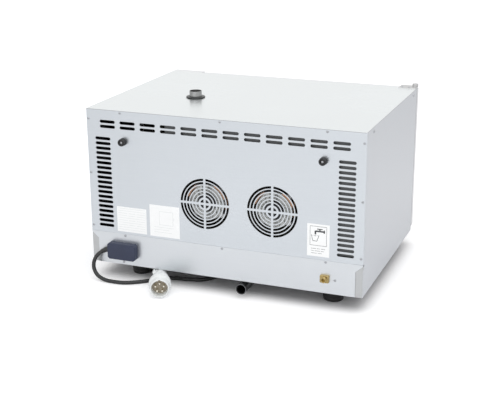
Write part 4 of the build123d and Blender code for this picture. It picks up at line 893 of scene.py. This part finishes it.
set_copies("dressed_screws", screw_pattern(), screw_places(), screw_steel, ("panel_screws",))


# ---------------------------------------- labels on the rear panel

print_face = rear_y + 0.3 * mm, rear_y + 0.36 * mm


def print_frame(shape, x0, x1, z0, z1, edge):
    """Printed rectangle drawn as a line as wide as its edge."""
    frame_of(shape, rectangle(x0, x1, z0, z1), inset(x0, x1, z0, z1, edge), *print_face)


def print_data_plate(low, high):
    """Faint ruled rows, some of them broken into columns."""
    margin = 4
    wide = (high.x - low.x) / mm - 2 * margin
    columns = ((0, 0.34), (0.39, 0.24), (0.68, 0.32))
    shape = bmesh.new()
    for row in range(10):
        broken = row in (2, 3, 5, 7)
        top = high.z - (4.5 + 6.9 * row) * mm
        tall = 0.8 if broken else 0.7
        for start, width in columns if broken else ((0, 1),):
            x = high.x - (margin + start * wide) * mm
            prism(shape, rectangle(x - width * wide * mm, x, top - tall * mm, top), *print_face)
    mesh_piece("data_plate_rules", shape, faint_ink)


def print_notice(low, high):
    """Thin square outline with a short mark beside it and a few faint rules under it."""
    shape = bmesh.new()
    wide, tall, edge = high.x - low.x, high.z - low.z, 0.8 * mm
    x0, x1 = high.x - 0.78 * wide, high.x - 0.32 * wide
    z0, z1 = high.z - 0.62 * tall, high.z - 0.19 * tall
    print_frame(shape, x0, x1, z0, z1, edge)
    prism(shape, rectangle(x0 - 3.2 * mm, x0 - 2.2 * mm, z0 + 14 * mm, z0 + 24 * mm), *print_face)
    for row, width in enumerate((0.66, 0.5, 0.6)):
        down = high.z - (0.70 + 0.08 * row) * tall
        start = high.x - 0.14 * wide
        rule = rectangle(high.x - (0.14 + width) * wide, start, down, down + edge)
        prism(shape, rule, *print_face)
    mesh_piece("notice_frame", shape, faint_ink)


def print_tap_picture(low, high):
    """Picture of a tap over a cup in a thin frame, with dashes under it."""
    shape = bmesh.new()
    middle = (low.x + high.x) / 2
    margin, foot = 7.5 * mm, low.z + 30 * mm
    print_frame(shape, low.x + margin, high.x - margin, foot, high.z - 6 * mm, 0.9 * mm)

    def part(across, up, width, height):
        """Block in mm from the middle of the frame's lower edge, as seen from behind."""
        x, z = middle - across * mm, foot + up * mm
        prism(shape, rectangle(x - width * mm, x, z, z + height * mm), *print_face)

    def stroke(start, end, width=1.3):
        """Straight line between two places given in the same way."""
        a, b = Vector(start), Vector(end)
        side = Vector((a.y - b.y, b.x - a.x)).normalized() * width / 2
        corners = (a + side, b + side, b - side, a - side)
        prism(shape, [(middle - c.x * mm, foot + c.y * mm) for c in corners], *print_face)

    tap = ((-8, 38, 26, 4.4), (-10.4, 31, 4.4, 10.4), (2.5, 42.4, 3.4, 3.2), (-3.5, 45, 15, 2.6),
           (14.6, 35.6, 3, 9))
    drop = (-9, 25.5, 1.2, 3.6)
    for block in (*tap, drop):
        part(*block)
    cup = [(-19.5, 30), (-15, 13), (-4, 12.4), (2, 29)]
    for start, end in zip(cup, cup[1:]):
        stroke(start, end)
    for across in (-17.0, -12.5, -4.6, -0.6):
        part(across, 27.5, 2.6, 0.9)
    for row, widths in enumerate(((14, 9, 12), (8, 15, 9), (17, 11))):
        across = -20.0
        for width in widths:
            part(across, -9.0 - 6.4 * row, width, 0.9)
            across += width + 2.2
    mesh_piece("tap_picture", shape, label_ink)


plates = sorted(islands("rear_labels"), key=lambda box: -box[0].x)
print_data_plate(*plates[0])
print_notice(*plates[1])
print_tap_picture(*plates[2])


# ---------------------------------------- controls

panel_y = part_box("control_panel")[0].y
panel_print = panel_y, panel_y - 0.06 * mm
dial_x = 0.350
timer_z, thermostat_z, button_z = 0.380, 0.285, 0.190


def number_mesh(number, size):
    """Mesh of a number, centred on its own place."""
    curve = bpy.data.curves.new("number", "FONT")
    curve.body = str(number)
    curve.size = size
    curve.extrude = 0.03 * mm
    curve.resolution_u = 3
    curve.align_x, curve.align_y = "CENTER", "CENTER"
    text = new_object("number", curve)
    mesh = bpy.data.meshes.new_from_object(evaluated(text))
    bpy.data.objects.remove(text)
    return mesh


def make_dial(name, height, sweep, steps, numbers):
    """Ticks on a ring and plain numbers round a knob; zero is straight up, rising clockwise."""
    tick_start, long_end, short_end, number_ring = 28.0 * mm, 31.5 * mm, 30.0 * mm, 36.8 * mm
    shape = bmesh.new()
    for i in range(steps + 1):
        turn = math.radians(sweep * i / steps)
        long = i % (steps // (len(numbers) - 1)) == 0
        out = Vector((math.sin(turn), math.cos(turn)))
        along = Vector((math.cos(turn), -math.sin(turn)))
        half = (0.45 if long else 0.25) * mm
        tick_end = long_end if long else short_end
        centre = Vector((dial_x, height))
        corners = [centre + out * r + along * w for r, w in
                   ((tick_start, -half), (tick_start, half), (tick_end, half), (tick_end, -half))]
        prism(shape, [tuple(c) for c in corners], *panel_print)
    for i, number in enumerate(numbers):
        turn = math.radians(sweep * i / (len(numbers) - 1))
        mesh = number_mesh(number, 6.2 * mm)
        place = Matrix.Translation((dial_x + math.sin(turn) * number_ring, panel_y - 0.03 * mm,
                                    height + math.cos(turn) * number_ring))
        mesh.transform(place @ Matrix.Rotation(math.radians(90), 4, "X"))
        shape.from_mesh(mesh)
        bpy.data.meshes.remove(mesh)
    bmesh.ops.remove_doubles(shape, verts=shape.verts, dist=1e-6)
    bmesh.ops.recalc_face_normals(shape, faces=shape.faces)
    mesh_piece(name, shape, label_ink)


def make_knob(name, node, height):
    """Fluted skirt, grip bar with bevelled edges and shaft; the white pointer is set in the bar's
    upper end.
    """
    face = panel_y - 1.5 * mm
    skirt = softened([(0, -2), (24.2, -2), (25, -1.2), (25, 4.8), (23.4, 7), (0, 7.6)], 0.8,
                     closed=False)
    shape = lathe(bmesh.new(), skirt, (dial_x, face, height), (0, -1, 0), 120,
                  ripple=(40, 0.7, 24.6))
    half_width, half_length = 5.6 * mm, 23 * mm
    grip = rectangle(dial_x - half_width, dial_x + half_width, height - half_length,
                     height + half_length, 4.6 * mm, 6)
    prism(shape, grip, face - 5 * mm, face - 24 * mm, 1.6 * mm, 4)
    shaft = [(0, 0), (3, 0), (3, 38), (0, 38)]
    lathe(shape, shaft, (dial_x, face - 4 * mm, height), (0, 1, 0), 20)
    mesh_piece(name, shape, black_plastic, node, stands_for=(node,))
    inlay = rectangle(dial_x - 1.0 * mm, dial_x + 1.0 * mm, height + 8 * mm, height + 20.5 * mm,
                      0.9 * mm)
    pointer = prism(bmesh.new(), inlay, face - 23 * mm, face - 24.12 * mm)
    mesh_piece(name + "_pointer", pointer, pointer_white, node)


def make_drop_sign():
    """Water drop printed beside the button."""
    radius, tip, centre_x = 3.4, 4.2, dial_x - 24 * mm
    drop = []
    for step in range(24):
        turn = math.radians(15 * step)
        pull = max(0.0, math.cos(turn)) ** 6
        drop.append((centre_x + radius * mm * math.sin(turn) * (1 - 0.5 * pull),
                     button_z + (radius * math.cos(turn) + tip * pull) * mm))
    mesh_piece("drop_sign", prism(bmesh.new(), drop, *panel_print), label_ink)


make_dial("timer_dial", timer_z, 300.0, 24, (0, 20, 40, 60, 80, 100, 120))
make_dial("thermostat_dial", thermostat_z, 270.0, 25, (0, 50, 100, 150, 200, 250))
make_knob("timer_grip", "timer_knob", timer_z)
make_knob("thermostat_grip", "thermostat_knob", thermostat_z)
make_drop_sign()


# ---------------------------------------- door window

def make_window_border():
    """Black border fired on the inner side of the outer pane."""
    low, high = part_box("door_glass")
    pane = low.x, high.x, low.z, high.z
    outer, inner = inset(*pane, 1.0 * mm, 4 * mm), inset(*pane, 52.0 * mm, 12 * mm)
    shape = frame_of(bmesh.new(), outer, inner, low.y + 5.02 * mm, low.y + 5.12 * mm)
    mesh_piece("window_border", shape, enamel_black, "door")


make_window_border()


# ---------------------------------------- camera, light and floor

def make_camera(azimuth, elevation, roll, distance, target, lens):
    """Camera on a sphere round the target; azimuth 0 looks along +Y."""
    a, e = math.radians(azimuth), math.radians(elevation)
    back = Vector((math.sin(a) * math.cos(e), -math.cos(a) * math.cos(e), math.sin(e)))
    data = bpy.data.cameras.new("camera")
    data.lens = lens
    data.sensor_width = 36
    camera = new_object("camera", data)
    camera.location = Vector(target) + back * distance
    camera.rotation_mode = "QUATERNION"
    turned = Quaternion((0, 0, 1), math.radians(-roll))
    camera.rotation_quaternion = (-back).to_track_quat("-Z", "Y") @ turned
    bpy.context.scene.camera = camera


def make_area_light(name, place, aim, width, height, power):
    data = bpy.data.lights.new(name, "AREA")
    data.shape = "RECTANGLE"
    data.size = width
    data.size_y = height
    data.energy = power
    light = new_object(name, data)
    light.location = place
    light.rotation_mode = "QUATERNION"
    light.rotation_quaternion = (Vector(aim) - Vector(place)).to_track_quat("-Z", "Y")


def seen_ray(tree):
    """1 for rays that the camera, gloss or glass sends out."""
    path = add(tree, "ShaderNodeLightPath").outputs
    glossy = math_node(tree, "MAXIMUM", path["Is Camera Ray"], path["Is Glossy Ray"])
    return math_node(tree, "MAXIMUM", glossy, path["Is Transmission Ray"])


def make_world(ambient):
    """White surroundings that light the object more weakly than they look."""
    world = bpy.data.worlds.new("studio")
    bpy.context.scene.world = world
    world.use_nodes = True
    tree = world.node_tree
    background = tree.nodes["Background"]
    background.inputs["Color"].default_value = (1, 1, 1, 1)
    tree.links.new(ramp(tree, seen_ray(tree), ambient, 1.0), background.inputs["Strength"])


def make_floor(size, colour, near, far):
    """Wide pale floor; away from the object it glows up to white for what looks at it."""
    bpy.ops.mesh.primitive_plane_add(size=size)
    floor = bpy.context.object
    floor.name = "floor"
    material, tree, shader = finish("studio floor", Roughness=0.75, Specular_IOR_Level=0.15)
    shader.inputs["Base Color"].default_value = (*colour, 1)
    shader.inputs["Emission Color"].default_value = (1, 1, 1, 1)
    dark_half, near_reach, far_reach, mirrored_share = (0.36, 0.25, 0.0), 0.07, 0.8, 0.25
    inside = vector_node(tree, "ABSOLUTE", object_coordinates(tree)).outputs[0]
    beyond = vector_node(tree, "SUBTRACT", inside, dark_half).outputs[0]
    clear = vector_node(tree, "MAXIMUM", beyond, (0.0, 0.0, 0.0)).outputs[0]
    away = vector_node(tree, "LENGTH", clear).outputs["Value"]
    # Painted light: the glow that rises just outside the object's footprint lifts the object's
    # shadow on the floor; the glow further out whitens the floor.
    close, distant = (
        add(tree, "ShaderNodeMapRange",
            {"Value": away, "From Min": start, "From Max": end, "To Max": glow},
            interpolation_type="SMOOTHSTEP").outputs[0]
        for start, end, glow in ((0.0, near_reach, near), (near_reach, far_reach, far)))
    looked = add(tree, "ShaderNodeLightPath").outputs["Is Camera Ray"]
    mirrored = math_node(tree, "MULTIPLY", seen_ray(tree), mirrored_share)
    seen = math_node(tree, "MAXIMUM", looked, mirrored)
    own = math_node(tree, "MULTIPLY", seen, math_node(tree, "ADD", close, distant))
    tree.links.new(own, shader.inputs["Emission Strength"])
    floor.data.materials.append(material)


make_camera(201.09, 18.02, 0.223, 3.1317, (0.0303, 0.0150, 0.1832), 75.48)
make_world(0.70)
# The floor's near glow of 0.34 is painted light that lifts the shadow round the object.
make_floor(40.0, (0.86, 0.86, 0.87), 0.34, 0.26)
make_area_light("top light", (-0.8, 0.9, 2.5), (0, 0, 0.3), 3.0, 3.0, 34)
make_area_light("rear light", (0.4, 3.4, 1.4), (0, 0, 0.3), 3.6, 2.2, 15)
bpy.context.scene.view_settings.view_transform = "Standard"
